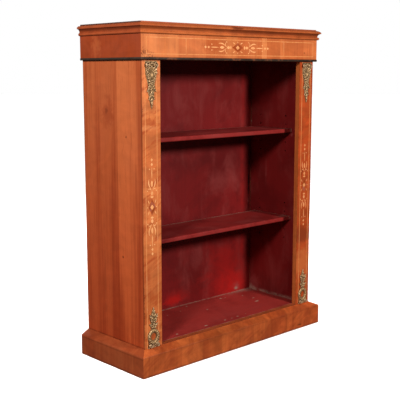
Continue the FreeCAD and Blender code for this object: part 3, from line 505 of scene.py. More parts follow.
class Relief:
    """A height field that leaves, scrolls and beads are raised on, as a carver makes a pattern."""

    def __init__(self, width, height, pitch):
        across = np.arange(-width / 2, width / 2 + pitch / 2, pitch)
        up = np.arange(0, height + pitch / 2, pitch)
        self.x, self.z = np.meshgrid(across, up)
        self.height = np.zeros_like(self.x)
        self.pitch = pitch

    def lift(self, height):
        """Keep what is higher: this height, or what stands there already."""
        self.height = np.maximum(self.height, height)

    def ground(self, outline, thick):
        """A thin plate inside an outline of (up, half width) pairs."""
        heights, half_widths = zip(*outline)
        half = np.interp(self.z, heights, half_widths)
        self.lift(np.where(np.abs(self.x) < half, thick, 0))

    def bead(self, x, z, radius, rise, tall=1.0):
        """A round dome, or an oval one that is so many times as tall as wide."""
        away = np.hypot(self.x - x, (self.z - z) / tall) / radius
        self.lift(rise * np.sqrt(np.clip(1 - away ** 2, 0, None)))

    def leaf(self, foot, tip, width, rise, lobes, bend=0.0):
        """A pointed leaf with a groove along its middle, lobed edges and a vein to each lobe."""
        base = 0.45
        run = np.array(tip, float) - np.array(foot, float)
        length = np.hypot(*run)
        dx = self.x - foot[0]
        dz = self.z - foot[1]
        t = np.clip((dx * run[0] + dz * run[1]) / length ** 2, 0, 1)
        off = (dx * run[1] - dz * run[0]) / length
        off = off - bend * 4 * t * (1 - t)
        beyond = np.abs((dx * run[0] + dz * run[1]) / length ** 2 - 0.5) > 0.5
        swell = np.sin(math.pi * t ** 0.62) ** 0.75 * (1 - base * t) + base * 0.25 * (1 - t)
        notch = 1 - 0.26 * np.abs(np.sin(math.pi * lobes * t)) ** 0.7 * (t > 0.06)
        half = np.maximum(width / 2 * swell * notch, 1e-6)
        side = np.abs(off) / half
        dome = np.sqrt(np.clip(1 - side ** 2, 0, None))
        vein = 0.16 * np.cos(2 * math.pi * (lobes * t - 0.55 * side) + math.pi)
        groove = 0.30 * np.exp(-(off / (0.13 * width)) ** 2)
        curl = 0.62 + 0.38 * np.sin(math.pi * t ** 0.8)
        self.lift(np.where(beyond, 0, rise * curl * dome * (1 + vein - groove)))

    def ridge(self, away, thick, rise):
        """A rounded ridge, given the distance from its middle line."""
        self.lift(rise * np.sqrt(np.clip(1 - (2 * away / thick) ** 2, 0, None)))

    def scroll(self, x, z, radius, turns, start, thick, rise, hand):
        """A ridge that winds in to a bead at its middle."""
        reach = np.hypot(self.x - x, self.z - z)
        angle = (hand * np.arctan2(self.z - z, self.x - x) - start) % (2 * math.pi)
        away = np.full_like(reach, radius * 10)
        for lap in range(math.ceil(turns)):
            wound = (angle + 2 * math.pi * lap) / (2 * math.pi * turns)
            arm = radius * (1 - 0.78 * wound)
            away = np.minimum(away, np.where(wound <= 1, np.abs(reach - arm), radius * 10))
        self.ridge(away, thick, rise)
        self.bead(x, z, radius * 0.3, rise * 1.15)

    def ring(self, x, z, half_wide, half_tall, thick, rise, twists):
        """An oval wreath bound with slanting leaves."""
        angle = np.arctan2((self.z - z) / half_tall, (self.x - x) / half_wide)
        reach = np.hypot((self.x - x) / half_wide, (self.z - z) / half_tall)
        away = np.abs(reach - 1) * (half_wide + half_tall) / 2
        side = (reach - 1) * (half_wide + half_tall) / thick
        bound = 1 - 0.24 * np.abs(np.sin(twists * angle / 2 + 1.4 * side))
        self.lift(bound * rise * np.sqrt(np.clip(1 - (2 * away / thick) ** 2, 0, None)))

    def shell(self, x, z, radius, flutes, rise):
        """A fan of flutes that opens upwards from its hinge."""
        reach = np.hypot(self.x - x, self.z - z)
        angle = np.arctan2(self.x - x, self.z - z)
        edge = radius * (0.93 + 0.07 * np.cos(2 * flutes * angle))
        rib = 0.66 + 0.34 * np.abs(np.cos(flutes * angle))
        inside = (reach < edge) & (np.abs(angle) < 1.75)
        self.lift(np.where(inside, rise * rib * (0.45 + 0.55 * reach / radius), 0))

    def leaf_pair(self, foot, tip, width, rise, lobes, bend):
        """The same leaf on both sides of the middle line."""
        for sign in (-1, 1):
            self.leaf((sign * foot[0], foot[1]), (sign * tip[0], tip[1]), width, rise, lobes, sign * bend)

    def scroll_pair(self, x, z, radius, turns, start, thick, rise):
        """The same scroll on both sides of the middle line."""
        self.scroll(x, z, radius, turns, start, thick, rise, 1)
        self.scroll(-x, z, radius, turns, start + math.pi, thick, rise, -1)

    def pierce(self, x, z, half_wide, half_tall):
        """An oval hole right through."""
        reach = np.hypot((self.x - x) / half_wide, (self.z - z) / half_tall)
        self.height = np.where(reach < 1, 0, self.height)

    def proud(self, spread):
        """How far each point stands above its surroundings, 0.5 where it is level with them."""
        count = max(int(spread / self.pitch), 1)
        mean = self.height.copy()
        for axis in (0, 1):
            total = np.zeros_like(mean)
            for step in range(-count, count + 1):
                total += np.roll(mean, step, axis)
            mean = total / (2 * count + 1)
        return np.clip(0.5 + (self.height - mean) / 4.0, 0, 1)


def corners(row, column):
    """The four corner points of a cell, in order round it."""
    return (row, column), (row, column + 1), (row + 1, column + 1), (row + 1, column)


def rim_edges(cells):
    """The edges of filled cells that have no filled cell beyond them, each as its two end points."""
    edges = []
    padded = np.pad(cells, 1)
    for row, column in np.argwhere(cells):
        points = corners(row, column)
        beyond = ((row, column + 1), (row + 1, column + 2), (row + 2, column + 1), (row + 1, column))
        for start, cell in enumerate(beyond):
            if not padded[cell]:
                edges.append((points[start], points[(start + 1) % 4]))
    return edges


def cast(name, relief, smoothing=6):
    """A closed mesh of a height field: its front, its flat back and its smoothed rim. It faces -Y."""
    solid = relief.height > THINNEST
    cells = solid[:-1, :-1] & solid[1:, :-1] & solid[:-1, 1:] & solid[1:, 1:]
    padded = np.pad(cells, 1)
    used = padded[:-1, :-1] | padded[1:, :-1] | padded[:-1, 1:] | padded[1:, 1:]
    number = np.full(solid.shape, -1)
    number[used] = np.arange(used.sum())
    x = relief.x[used]
    z = relief.z[used]
    edges = [(number[a], number[b]) for a, b in rim_edges(cells)]
    first = np.array([a for a, _ in edges])
    second = np.array([b for _, b in edges])
    for _ in range(smoothing):
        for places in (x, z):
            total = np.zeros(len(places))
            met = np.zeros(len(places))
            np.add.at(total, first, places[second])
            np.add.at(total, second, places[first])
            np.add.at(met, first, 1)
            np.add.at(met, second, 1)
            on_rim = met > 0
            places[on_rim] = places[on_rim] / 2 + total[on_rim] / met[on_rim] / 2
    count = len(x)
    front = np.column_stack([x, -relief.height[used], z])
    back = np.column_stack([x, np.zeros(count), z])
    points = np.vstack([front, back]) * MM
    faces = []
    for row, column in np.argwhere(cells):
        a, b, c, d = [number[point] for point in corners(row, column)]
        faces.append((a, b, c, d))
        faces.append((a + count, d + count, c + count, b + count))
    for a, b in edges:
        faces.append((a, a + count, b + count, b))
    mesh = bpy.data.meshes.new(name)
    mesh.from_pydata(points.tolist(), [], faces)
    proud = np.concatenate([relief.proud(NEARBY)[used], np.zeros(count)])
    mesh.attributes.new("proud", "FLOAT", "POINT").data.foreach_set("value", proud.astype(np.float32))
    mesh.shade_smooth()
    mesh.update()
    return mesh


def top_pattern(sizes):
    """The pendant of leaves under the frieze: shell, scrolls, two tiers of leaves and a bud."""
    relief = Relief(47, 138, sizes.pitch / MM)
    rise = sizes.relief / MM
    outline = [(0, 0.5), (8, 2.5), (28, 8), (34, 9), (53, 13), (66, 12), (76, 14), (100, 21), (138, 22.5)]
    relief.ground(outline, sizes.ground / MM)
    relief.leaf((0, 36), (0, 1), 13, rise * 0.8, 3)
    relief.leaf_pair((1.5, 50), (13, 25), 12, rise * 0.72, 3, 2.0)
    relief.leaf((0, 66), (0, 24), 17, rise * 0.92, 4)
    relief.leaf_pair((2, 80), (19, 48), 16, rise * 0.8, 4, 3.0)
    relief.leaf_pair((4, 72), (22.5, 104), 14, rise * 0.85, 4, -3.5)
    relief.leaf_pair((3, 92), (21, 122), 12, rise * 0.78, 3, 3.0)
    relief.shell(0, 104, 19, 6, rise * 0.86)
    relief.bead(0, 96, 8.5, rise, 1.35)
    relief.scroll_pair(14.5, 127, 8.4, 1.4, -1.2, 3.4, rise * 0.9)
    relief.leaf_pair((5, 132), (15, 112), 9, rise * 0.95, 3, -2.0)
    relief.bead(0, 131, 4.2, rise * 0.95)
    for up, radius in ((76, 3.0), (44, 2.6), (14, 2.0)):
        relief.bead(0, up, radius, rise * 0.95)
    return relief


def bottom_pattern(sizes):
    """The upright at the foot: a spear of leaves over a pierced wreath on two scrolls."""
    relief = Relief(47, 127, sizes.pitch / MM)
    rise = sizes.relief / MM
    outline = [(0, 21), (10, 20), (18, 17), (57, 10), (62, 6), (70, 13), (78, 9), (86, 8), (104, 9),
               (126, 0.5)]
    relief.ground(outline, sizes.ground / MM)
    relief.leaf((0, 80), (0, 126.5), 24, rise * 0.85, 4)
    relief.leaf_pair((2, 82), (14.5, 107), 12, rise * 0.8, 3, 2.0)
    relief.leaf_pair((2, 60), (18, 76), 13, rise * 0.8, 3, -2.0)
    relief.leaf((0, 57), (0, 84), 16, rise * 0.95, 3)
    relief.bead(0, 83, 5.0, rise, 0.7)
    for sign in (-1, 1):
        relief.bead(sign * 8.2, 83, 3.4, rise * 0.8, 0.8)
    relief.ring(0, 34, 16.8, 18.6, 12.6, rise * 0.92, 14)
    relief.bead(0, 55, 4.6, rise)
    relief.leaf((0, 2), (0, 21), 16, rise * 0.8, 3)
    relief.pierce(0, 35, 9.4, 12.2)
    relief.scroll_pair(13.6, 8.8, 8.2, 1.4, 1.9, 3.4, rise)
    relief.leaf_pair((8, 3), (22, 20), 9, rise * 0.72, 2, -1.5)
    relief.ridge(np.where(np.abs(relief.x) < 22, np.abs(relief.z - 1.6), 99), 3.2, rise * 0.55)
    return relief


def hang_castings(pattern, place, finish, sizes):
    """One casting on each pilaster."""
    for side in SIDES:
        node = f"{side}_{place}_mount"
        name = f"{side}_{place}_casting"
        relief = pattern(sizes)
        mesh = cast(name, relief)
        piece = bpy.data.objects.new(name, mesh)
        bpy.context.scene.collection.objects.link(piece)
        lowest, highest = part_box(node)
        piece.location = ((lowest.x + highest.x) / 2, highest.y, lowest.z)
        mesh.materials.append(finish)
        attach(piece, CASE)
        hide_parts(node)


# Which finish goes on which nodes.


def paint_nodes(finish, *names):
    """Give CAD nodes a finish."""
    for name in names:
        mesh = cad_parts[name].data
        mesh.materials.clear()
        mesh.materials.append(finish)


def face_marks(corner, thick, marks):
    """Marks on a face that looks forwards. Each is its place across and up from a corner, its reach
    along X and Z, its colour, its depth and whether it is broken into specks or chipped."""
    x, y, z = corner
    return [((x + across, y, z + up), (wide, thick, tall), *rest)
            for across, up, wide, tall, *rest in marks]


def front_marks(node, marks):
    """Marks on the front of a node, measured from its lower left corner."""
    return face_marks(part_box(node)[0], 10 * MM, marks)


def colours_of(context):
    """The colours as plain tuples under their names."""
    group = context.scene.bookcase_colours
    plain = {name: tuple(getattr(group, name)) for name in BookcaseColours.__annotations__}
    return type("Colours", (), plain)


class BOOKCASE_OT_walnut(bpy.types.Operator):
    """Polished walnut on the sides, mouldings, plinth and floor edge"""

    bl_idname = "bookcase.walnut"
    bl_label = "Walnut"

    def execute(self, context):
        tint = colours_of(context)
        dark = tint.walnut_dark
        plinth_top = high("plinth_left", "Z")
        cornice_foot = low("cornice_front", "Z")
        lip = low("top_lip", "Z")
        hole = mixed(dark, BLACK, 0.8)
        # Painted shade: a dark band in the hollow under the cornice's nose, and a dark line at the cornice's
        # foot.
        shaded_hollows = [("Z", cornice_foot + 16 * MM, 8.5 * MM, 0.65), ("Z", cornice_foot, 3 * MM, 0.7)]
        # Marks on each side: metres behind its front edge and above its foot, and reach back and up.
        knots = [(0.1635, 0.724, 0.030, 0.060, dark, 0.6), (0.1685, 0.729, 0.008, 0.015, hole, 0.35)]
        streaks = [(0.2085, 0.639, 0.006, 0.16, dark, 0.55), (0.1885, 0.239, 0.005, 0.20, dark, 0.5),
                   (0.1485, 0.359, 0.004, 0.24, dark, 0.4)]
        worm_holes = [(0.0745, 0.655, 0.003, 0.004, hole, 0.9), (0.0975, 0.288, 0.004, 0.005, hole, 0.8)]
        for number, side in enumerate(SIDES):
            node = f"{side}_side_veneer"
            outside = low(node, "X") if side == "left" else high(node, "X")
            front = low(node, "Y")
            foot = low(node, "Z")
            top = high(node, "Z")
            # Darker lines where each side meets the plinth, the cornice and the pilaster, and along its back
            # edge: dirt and painted shade.
            dirt_and_shade = [("Z", plinth_top, 6 * MM, 0.7), ("Z", top, 14 * MM, 0.35),
                    ("Y", high(node, "Y"), 8 * MM, 0.5), ("Y", front, 6 * MM, 0.6)]
            marks = [((outside, front + back, foot + up), (0.01, deep, tall), over, depth)
                     for back, up, deep, tall, over, depth in (*knots, *streaks, *worm_holes)]
            # Each side grows darker and redder towards its foot: painted shade for light that falls off lower
            # down.
            paint_nodes(veneer(f"{side}_side_walnut", "Z", tint.walnut, dark, 2.0 + 6 * number,
                               leaves=("Y", 0.085), cloud=0.07, streaks=0.75, dirt_and_shade=dirt_and_shade, marks=marks,
                               darker_along=("Z", top, plinth_top, 0.62)), node)
            node = f"frieze_{side}"
            patch = (outside, low(node, "Y") + 0.213, low(node, "Z") + 0.0365)
            paint_nodes(veneer(f"{side}_frieze_walnut", "Z", mixed(tint.walnut, dark, 0.95), dark,
                               4.0 + number, leaves=("Y", 0.07), cloud=0.12, streaks=0.7,
                               marks=[(patch, (0.02, 0.028, 0.05), tint.walnut, 0.35)]), node)
            # Darker lines at the plinth's foot on the floor and below its top: dirt and painted shade.
            dirt_and_shade = [("Z", low("plinth_left", "Z"), 7 * MM, 0.85), ("Z", plinth_top - 20 * MM, 2.5 * MM, 0.4)]
            paint_nodes(veneer(f"{side}_plinth_walnut", "Z", mixed(tint.walnut, dark, 0.65), dark,
                               5.0 + number, leaves=("Y", 0.09), cloud=0.15, streaks=0.6, dirt_and_shade=dirt_and_shade),
                        f"plinth_{side}")
            # A darker line under the lip, dirt and painted shade, with the painted shade of the hollows.
            dirt_and_shade = [("Z", lip, 3 * MM, 0.6), *shaded_hollows]
            paint_nodes(veneer(f"{side}_cornice_walnut", "Y", mixed(tint.walnut, dark, 0.45), dark,
                               7.0 + number, cloud=0.12, streaks=0.6, dirt_and_shade=dirt_and_shade), f"cornice_{side}")
            paint_nodes(veneer(f"{side}_pilaster_walnut", "Z", tint.figured, tint.figured_dark, 8.0 + number),
                        f"{side}_pilaster")
        scars = face_marks(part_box("cornice_front")[0], 20 * MM, [
            (0.3974, 0.027, 0.030, 0.007, mixed(dark, BLACK, 0.5), 0.8),
            (0.1154, 0.020, 0.016, 0.004, dark, 0.6)])
        # A darker line under the lip, dirt and painted shade, with the painted shade of the hollows.
        dirt_and_shade = [("Z", lip, 2 * MM, 0.4), *shaded_hollows]
        paint_nodes(veneer("front_cornice_walnut", "X", mixed(tint.figured, dark, 0.28), dark, 9.0,
                           cloud=0.12, streaks=0.6, dirt_and_shade=dirt_and_shade, marks=scars), "cornice_front")
        # A darker line along the front edge of the lipping, over the plinth: dirt and painted shade.
        dirt_and_shade = [("Y", low("floor_lipping", "Y"), 3 * MM, 0.5)]
        paint_nodes(veneer("lipping_walnut", "X", mixed(tint.walnut, dark, 0.6), dark, 10.0,
                           cloud=0.2, dirt_and_shade=dirt_and_shade, polish=0.5), "floor_lipping")
        paint_nodes(lip_wood("top_walnut", tint, 11.0), "top_lip")
        return {"FINISHED"}


class BOOKCASE_OT_figured(bpy.types.Operator):
    """Figured walnut on the pilasters, the frieze and the front of the plinth"""

    bl_idname = "bookcase.figured"
    bl_label = "Figured Walnut"

    def execute(self, context):
        tint = colours_of(context)
        dark = tint.figured_dark
        hole = mixed(dark, BLACK, 0.85)
        # Marks on each pilaster, on the frieze and on the plinth are laid out as face_marks takes them.
        chips = [(0.5 * MM, 0.139, 4 * MM, 0.13, hole, 0.65, True),
                 (0.5 * MM, 0.729, 3 * MM, 0.03, hole, 0.5, True),
                 (20 * MM, 0.684, 0.06, 0.009, tint.boxwood, 0.2),
                 (22 * MM, 0.704, 0.03, 0.012, dark, 0.6),
                 (12 * MM, 0.239, 0.018, 0.030, dark, 0.55),
                 (30 * MM, 0.174, 0.016, 0.020, dark, 0.5)]
        cracks = [(17.5 * MM, 0.494, 1.8 * MM, 0.024, hole, 0.95),
                  (25.5 * MM, 0.501, 1.6 * MM, 0.014, hole, 0.8),
                  (13.5 * MM, 0.299, 1.0 * MM, 0.050, hole, 0.6),
                  (28.5 * MM, 0.274, 0.08, 0.042, tint.walnut_dark, 1.0),
                  (28.5 * MM, 0.169, 0.06, 0.060, tint.figured, 0.7)]
        woods = {"left": (mixed(tint.figured, tint.boxwood, 0.12), 12.0, chips),
                 "right": (tint.figured_red, 13.0, cracks)}
        for side, (light, seed, marks) in woods.items():
            node = f"{side}_pilaster_veneer"
            outer = low(node, "X") if side == "left" else high(node, "X")
            # Darker lines where each pilaster meets the plinth and the top, and along its outer edge: dirt
            # and painted shade.
            dirt_and_shade = [("Z", high("plinth_front", "Z"), 4 * MM, 0.5), ("Z", high(node, "Z"), 5 * MM, 0.5),
                    ("X", outer, 2.5 * MM, 0.5)]
            paint_nodes(veneer(f"{side}_pilaster_figured", "Z", light, dark, seed, leaves=("Z", 0.19),
                               cloud=0.22, streaks=0.25, dirt_and_shade=dirt_and_shade, marks=front_marks(node, marks),
                               flame=0.8), node)
        node = "frieze_front"
        end = low(node, "X")
        pale = mixed(tint.boxwood, tint.figured, 0.4)
        marks = [(18 * MM, 0, 34 * MM, 26 * MM, hole, 1.0, True),
                 (12 * MM, 0, 26 * MM, 12 * MM, pale, 0.9, True),
                 (0.2895, 0.036, 0.045, 0.022, dark, 0.5),
                 (0.7225, 0.022, 2.5 * MM, 2.5 * MM, hole, 0.95)]
        # A darker line along the frieze's foot, over the bead: dirt and painted shade.
        dirt_and_shade = [("Z", low(node, "Z"), 3 * MM, 0.5)]
        blocks = [(end + 0.2555, end + 0.3445, dark, 0.35),
                  (end + 0.5075, end + 0.5315, mixed(tint.figured, tint.boxwood, 0.5), 0.3),
                  (end + 0.5315, end + 0.5995, dark, 0.4),
                  (end + 0.5995, end + 0.7945, dark, 0.2)]
        paint_nodes(veneer("frieze_figured", "Z", mixed(tint.figured, tint.boxwood, 0.15), dark, 15.0,
                           leaves=("X", 0.115), cloud=0.13, streaks=0.3, dirt_and_shade=dirt_and_shade,
                           marks=front_marks(node, marks), darker_along=("X", end + 0.4945, end + 0.7745, 0.15),
                           blocks=blocks), node)
        node = "plinth_front"
        end = low(node, "X")
        foot = low(node, "Z")
        corner = (end, low(node, "Y") + 19.5 * MM, foot)
        chips = face_marks(corner, 0.05, [(0.719, 14 * MM, 14 * MM, 5 * MM, hole, 0.8)])
        # Darker lines at the foot of the plinth's front and below its top: dirt and painted shade.
        dirt_and_shade = [("Z", foot, 6 * MM, 0.8), ("Z", high(node, "Z") - 15 * MM, 5 * MM, 0.3)]
        paint_nodes(veneer("plinth_figured", "Z", mixed(tint.figured, dark, 0.5), tint.walnut_dark, 17.0,
                           leaves=("X", 0.085), cloud=0.24, streaks=0.45, dirt_and_shade=dirt_and_shade, marks=chips,
                           darker_along=("X", end + 0.314, end + 0.814, 0.3), flame=0.5), node)
        return {"FINISHED"}


class BOOKCASE_OT_inlay(bpy.types.Operator):
    """Boxwood stringing and marquetry, and the dark lozenges in it"""

    bl_idname = "bookcase.inlay"
    bl_label = "Inlay"

    def execute(self, context):
        tint = colours_of(context)
        panels = ("left_pilaster", "right_pilaster", "frieze")
        dark = tint.figured_dark
        toned = mixed(tint.boxwood, tint.figured, 0.4)
        paint_nodes(inlay("boxwood_inlay", tint.boxwood, dark, 20.0),
                    "left_pilaster_marquetry", "frieze_marquetry")
        paint_nodes(inlay("toned_boxwood_inlay", toned, dark, 23.0), "right_pilaster_marquetry")
        paint_nodes(inlay("boxwood_strings", tint.stringing, dark, 21.0),
                    *[f"{panel}_stringing" for panel in panels])
        paint_nodes(inlay("rosewood_inlay", tint.rosewood, tint.ebonised, 22.0), "dark_lozenges")
        paint_nodes(ebonised_wood("ebonised_bead", tint, 0.1, 24.0), "bead_left", "bead_right")
        paint_nodes(ebonised_wood("worn_bead", tint, 0.5, 25.0), "bead_front")
        return {"FINISHED"}


class BOOKCASE_OT_painted_inside(bpy.types.Operator):
    """Old red paint on the inside, the floor and the shelves"""

    bl_idname = "bookcase.painted_inside"
    bl_label = "Painted Inside"

    def execute(self, context):
        tint = colours_of(context)
        wear = context.scene.bookcase_sizes.wear
        floor = high("floor_board", "Z")
        back = low("back_board_1", "Y")
        left = high("left_side", "X")
        right = low("right_side", "X")
        fresh_and_lit = tint.paint_bright
        half_fresh_and_lit = mixed(tint.paint, fresh_and_lit, 0.45)
        hole = (0.004, 0.001, 0.001)
        marks = face_marks((left, back, floor), 0.1, [
            (0.330, 0.036, 0.095, 0.034, half_fresh_and_lit, 0.9),
            (0.325, 0.028, 0.065, 0.018, fresh_and_lit, 1.0),
            # Painted light: the next four marks are the pool of the fill lamp's light low on the right of the
            # back, brighter within, with a pale painted highlight.
            (0.600, 0.085, 0.180, 0.170, half_fresh_and_lit, 1.0),
            (0.635, 0.035, 0.085, 0.060, fresh_and_lit, 0.8),
            (0.647, 0.020, 0.030, 0.020, tint.rubbed, 0.8),
            (0.645, 0.014, 0.012, 0.007, tint.dust, 0.8),
            (0.710, 0.400, 0.008, 0.100, hole, 0.9),
            (0.707, 0.345, 0.006, 0.010, tint.rubbed, 0.8),
            (0.480, 0.510, 0.100, 0.070, tint.paint_deep, 0.7),
            (0.560, 0.440, 0.100, 0.060, tint.rubbed, 0.35)])
        dusty = [("X", right - 42 * MM, 18 * MM, half_fresh_and_lit, 0.6), ("Z", floor, 4 * MM, tint.dust, 0.75)]
        boards = [f"back_board_{number}" for number in range(1, 5)]
        joints = [low(board, "X") for board in boards[1:]]
        paint_nodes(old_paint("painted_back", tint, wear, 30.0, tint.paint, painted=("Y", -1),
                              lines=dusty, marks=marks, joints=joints), *boards)
        walls = {"left": (left, 33.0), "right": (right, 34.0)}
        for side, (wall, seed) in walls.items():
            dusty = [("Y", back, 4 * MM, hole, 0.8), ("Z", floor, 11 * MM, tint.dust, 0.8)]
            pink = mixed(tint.dust, tint.rubbed, 0.45)
            marks = [((wall, back - 0.02, floor + 0.010), (0.05, 0.065, 0.045), tint.rubbed, 0.6),
                     ((wall, back - 0.01, floor + 0.005), (0.05, 0.035, 0.020), pink, 0.9),
                     ((wall, back - 0.0785, floor + 0.459), (0.05, 0.006, 0.05), tint.rubbed, 0.5),
                     ((wall, back - 0.2005, floor + 0.603), (0.05, 0.006, 0.008), tint.rubbed, 0.9),
                     ((wall, back - 0.002, floor + 0.645), (0.05, 0.004, 0.006), tint.dust, 0.8)]
            paint_nodes(old_paint(f"painted_{side}", tint, wear, seed, tint.paint, behind=back,
                                  lines=dusty, marks=marks, smudged=0.35), f"{side}_side")
        front = low("floor_board", "Y")
        lipping = high("floor_lipping", "Y")
        tan = mixed(tint.dust, (1, 0.7, 0.5), 0.45)
        lines = [("Y", back, 5 * MM, tint.dust, 0.8), ("X", left, 5 * MM, tint.dust, 0.7),
                 ("X", right, 16 * MM, tint.dust, 0.8), ("Y", max(front, lipping), 3 * MM, tan, 0.7)]
        # Chips in the floor: metres from its left end, metres behind its front, size in millimetres.
        chips = ((0.534, 0.2215, 9), (0.552, 0.2165, 5), (0.374, 0.2315, 6), (0.252, 0.1965, 5),
                 (0.317, 0.2015, 4), (0.268, 0.0225, 8), (0.141, 0.0225, 7), (0.627, 0.1445, 7),
                 (0.606, 0.1065, 11), (0.401, 0.1535, 5), (0.358, 0.0235, 6), (0.390, 0.0225, 5),
                 (0.419, 0.0235, 6), (0.620, 0.1925, 6), (0.460, 0.0245, 4))
        bare = mixed(tint.dust, tan, 0.6)
        marks = [((left + across, front + deep, floor), (0.85 * size * MM, 0.4 * size * MM, 0.01),
                  bare, 0.9, True) for across, deep, size in chips]
        dusty_corner = mixed(tint.dust, tint.rubbed, 0.3)
        marks.append(((right - 0.03, back, floor), (0.12, 0.030, 0.01), dusty_corner, 0.85))
        paint_nodes(old_paint("painted_floor", tint, wear, 36.0, tint.paint_thin, "X", painted=("Z", 1),
                              lines=lines, marks=marks, smudged=0.3, deep=0.35), "floor_board")
        for number, level in enumerate(LEVELS):
            node = f"{level}_shelf"
            front = low(node, "Y")
            rear = high(node, "Y")
            end = high(node, "X")
            top = high(node, "Z")
            edge = mixed(tint.paint, tint.paint_thin, 0.45)
            lines = [("Y", front, 2 * MM, edge, 0.9), ("Y", rear, 14 * MM, tint.dust, 0.9),
                     ("X", end, 14 * MM, tint.dust, 0.6), ("Z", low(node, "Z"), 2.5 * MM, tint.rubbed, 0.7)]
            marks = [((end, rear, top), (0.06, 0.10, 0.01), tint.rubbed, 0.6),
                     ((end - 0.01, front + 0.02, top), (0.05, 0.02, 0.01), tint.dust, 0.4)]
            paint_nodes(old_paint(f"painted_{level}_shelf", tint, wear, 38.0 + 2 * number,
                                  mixed(tint.paint, tint.paint_thin, 0.35), "X", lines=lines,
                                  marks=marks, smudged=0.6, deep=0.5), node)
        ceiling = old_paint("painted_ceiling", tint, wear, 43.0, tint.paint, "X", painted=("Z", -1))
        paint_nodes(ceiling, "top_board")
        return {"FINISHED"}


class BOOKCASE_OT_bare_wood(bpy.types.Operator):
    """Unfinished pine, turned pegs and iron fixings"""

    bl_idname = "bookcase.bare_wood"
    bl_label = "Bare Wood and Iron"

    def execute(self, context):
        tint = colours_of(context)
        paint_nodes(pine("pine_long", tint, "X", 44.0), "base_rail_front", "base_rail_back", "frieze_rail")
        paint_nodes(pine("pine_deep", tint, "Y", 46.0), "base_rail_left", "base_rail_right", "glue_blocks")
        turned = veneer("turned_peg", "X", tint.peg, mixed(tint.peg, BLACK, 0.5), 48.0, polish=0.5)
        pegs = [f"{level}_peg_{side}_{end}" for level in LEVELS for side in SIDES for end in ENDS]
        paint_nodes(turned, *pegs)
        paint_nodes(rusted_iron("old_iron", tint, 50.0), "top_screws", "back_nails")
        return {"FINISHED"}


class BOOKCASE_OT_castings(bpy.types.Operator):
    """Gilt castings at the top and the foot of each pilaster, and their pins"""

    bl_idname = "bookcase.castings"
    bl_label = "Gilt Castings"

    def execute(self, context):
        sizes = context.scene.bookcase_sizes
        finish = cast_brass("gilt_casting", colours_of(context), 52.0)
        hang_castings(top_pattern, "top", finish, sizes)
        hang_castings(bottom_pattern, "bottom", finish, sizes)
        paint_nodes(finish, "mount_pins")
        return {"FINISHED"}


# Each lamp's name, the setting with its power, its place, the point it is aimed at, its width, and
# whether polished faces mirror it.
LAMPS = (
    ("key_lamp", "key", (0.17, -2.6, 1.48), (0.0, -0.1, 0.62), 0.38, True),
    ("fill_lamp", "fill", (-2.35, -1.30, 1.70), (0.2, 0.0, 0.60), 0.4, True),
    ("side_lamp", "side", (-2.20, 0.35, 1.75), (-0.4, 0.0, 0.65), 0.8, True),
    ("far_side_lamp", "far_side", (2.40, 0.90, 0.90), (0.4, 0.0, 0.6), 0.8, False),
    ("back_lamp", "behind", (1.30, 2.60, 1.60), (0.0, 0.15, 0.55), 1.0, True),
)
FLOOR_RADIUS = 30
FLOOR_STEPS = 64


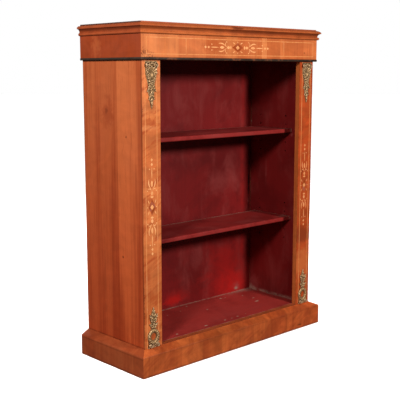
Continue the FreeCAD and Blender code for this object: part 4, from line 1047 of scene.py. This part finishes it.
class BOOKCASE_OT_studio(bpy.types.Operator):
    """Pale floor, soft lamps, pale surroundings and the camera"""

    bl_idname = "bookcase.studio"
    bl_label = "Studio"

    def execute(self, context):
        scene = context.scene
        studio = scene.bookcase_studio
        floor = self.floor(scene, colours_of(context))
        for name, setting, place, target, width, glossy in LAMPS:
            lamp = self.lamp(scene, name, place, target, width, getattr(studio, setting))
            lamp.visible_glossy = glossy
        self.overhead(scene, floor, studio.overhead)
        self.surroundings(scene, studio.surround)
        self.camera(scene, studio)
        scene.view_settings.view_transform = "Standard"
        return {"FINISHED"}

    def floor(self, scene, colours):
        """A wide round floor."""
        points = [(0, 0, 0)]
        faces = []
        for step in range(FLOOR_STEPS):
            angle = 2 * math.pi * step / FLOOR_STEPS
            points.append((FLOOR_RADIUS * math.cos(angle), FLOOR_RADIUS * math.sin(angle), 0))
            faces.append((0, step + 1, (step + 1) % FLOOR_STEPS + 1))
        mesh = bpy.data.meshes.new("studio_floor")
        mesh.from_pydata(points, [], faces)
        floor = bpy.data.objects.new("studio_floor", mesh)
        scene.collection.objects.link(floor)
        floor.location.z = CAD_BOX[0][2]
        mesh.materials.append(pale_floor("studio_floor", colours))
        floor.visible_diffuse = False
        floor.visible_glossy = False
        return floor

    def lamp(self, scene, name, place, target, width, power):
        """A soft round lamp aimed at a point."""
        data = bpy.data.lights.new(name, "AREA")
        data.shape = "DISK"
        data.size = width
        data.energy = power
        data.color = (1.0, 0.985, 0.965)
        lamp = bpy.data.objects.new(name, data)
        scene.collection.objects.link(lamp)
        lamp.location = place
        aim = Vector(target) - Vector(place)
        lamp.rotation_euler = aim.to_track_quat("-Z", "Y").to_euler()
        return lamp

    def overhead(self, scene, floor, strength):
        """Even light for the floor alone, so that it stays pale."""
        data = bpy.data.lights.new("overhead_light", "SUN")
        data.energy = strength
        data.angle = math.radians(70)
        light = bpy.data.objects.new("overhead_light", data)
        scene.collection.objects.link(light)
        light.location = (0, 0, 4)
        lit = bpy.data.collections.new("lit_from_above")
        lit.objects.link(floor)
        light.light_linking.receiver_collection = lit

    def surroundings(self, scene, strength):
        """White behind the bookcase, and a weaker even light from all round."""
        world = bpy.data.worlds.new("surroundings")
        world.use_nodes = True
        scene.world = world
        nodes = world.node_tree.nodes
        links = world.node_tree.links
        even = nodes["Background"]
        even.inputs["Color"].default_value = (1.0, 0.99, 0.975, 1)
        even.inputs["Strength"].default_value = strength
        white = nodes.new("ShaderNodeBackground")
        white.inputs["Color"].default_value = (1, 1, 1, 1)
        seen = nodes.new("ShaderNodeLightPath")
        either = nodes.new("ShaderNodeMixShader")
        links.new(seen.outputs["Is Camera Ray"], either.inputs[0])
        links.new(even.outputs[0], either.inputs[1])
        links.new(white.outputs[0], either.inputs[2])
        links.new(either.outputs[0], nodes["World Output"].inputs["Surface"])

    def camera(self, scene, studio):
        """The camera, where the settings put it."""
        data = bpy.data.cameras.new("studio_camera")
        data.lens = studio.lens
        data.sensor_width = 36
        camera = bpy.data.objects.new("studio_camera", data)
        scene.collection.objects.link(camera)
        camera.location = (-studio.distance_left, -studio.distance_front, studio.eye_height)
        camera.rotation_euler = (math.pi / 2 - studio.tilt, 0, -studio.turn)
        scene.camera = camera


STEPS = (
    BOOKCASE_OT_walnut,
    BOOKCASE_OT_figured,
    BOOKCASE_OT_inlay,
    BOOKCASE_OT_painted_inside,
    BOOKCASE_OT_bare_wood,
    BOOKCASE_OT_castings,
    BOOKCASE_OT_studio,
)


class BOOKCASE_PT_panel(bpy.types.Panel):
    """Lists the steps and their settings"""

    bl_idname = "BOOKCASE_PT_panel"
    bl_label = "Bookcase"
    bl_space_type = "VIEW_3D"
    bl_region_type = "UI"
    bl_category = "Bookcase"

    def draw(self, context):
        for group, kind in SETTINGS.items():
            settings = getattr(context.scene, group)
            column = self.layout.column()
            for name in kind.__annotations__:
                column.prop(settings, name)
        for step in STEPS:
            self.layout.operator(step.bl_idname)


SETTINGS = {
    "bookcase_colours": BookcaseColours,
    "bookcase_sizes": BookcaseSizes,
    "bookcase_studio": BookcaseStudio,
}


def register():
    for kind in (*SETTINGS.values(), *STEPS, BOOKCASE_PT_panel):
        bpy.utils.register_class(kind)
    for name, kind in SETTINGS.items():
        setattr(bpy.types.Scene, name, PointerProperty(type=kind))


def unregister():
    for name in SETTINGS:
        delattr(bpy.types.Scene, name)
    for kind in (BOOKCASE_PT_panel, *reversed(STEPS), *SETTINGS.values()):
        bpy.utils.unregister_class(kind)


def main():
    """Registers the add-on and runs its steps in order."""
    register()
    for step in STEPS:
        group, action = step.bl_idname.split(".")
        getattr(getattr(bpy.ops, group), action)()


if __name__ == "__main__":
    main()
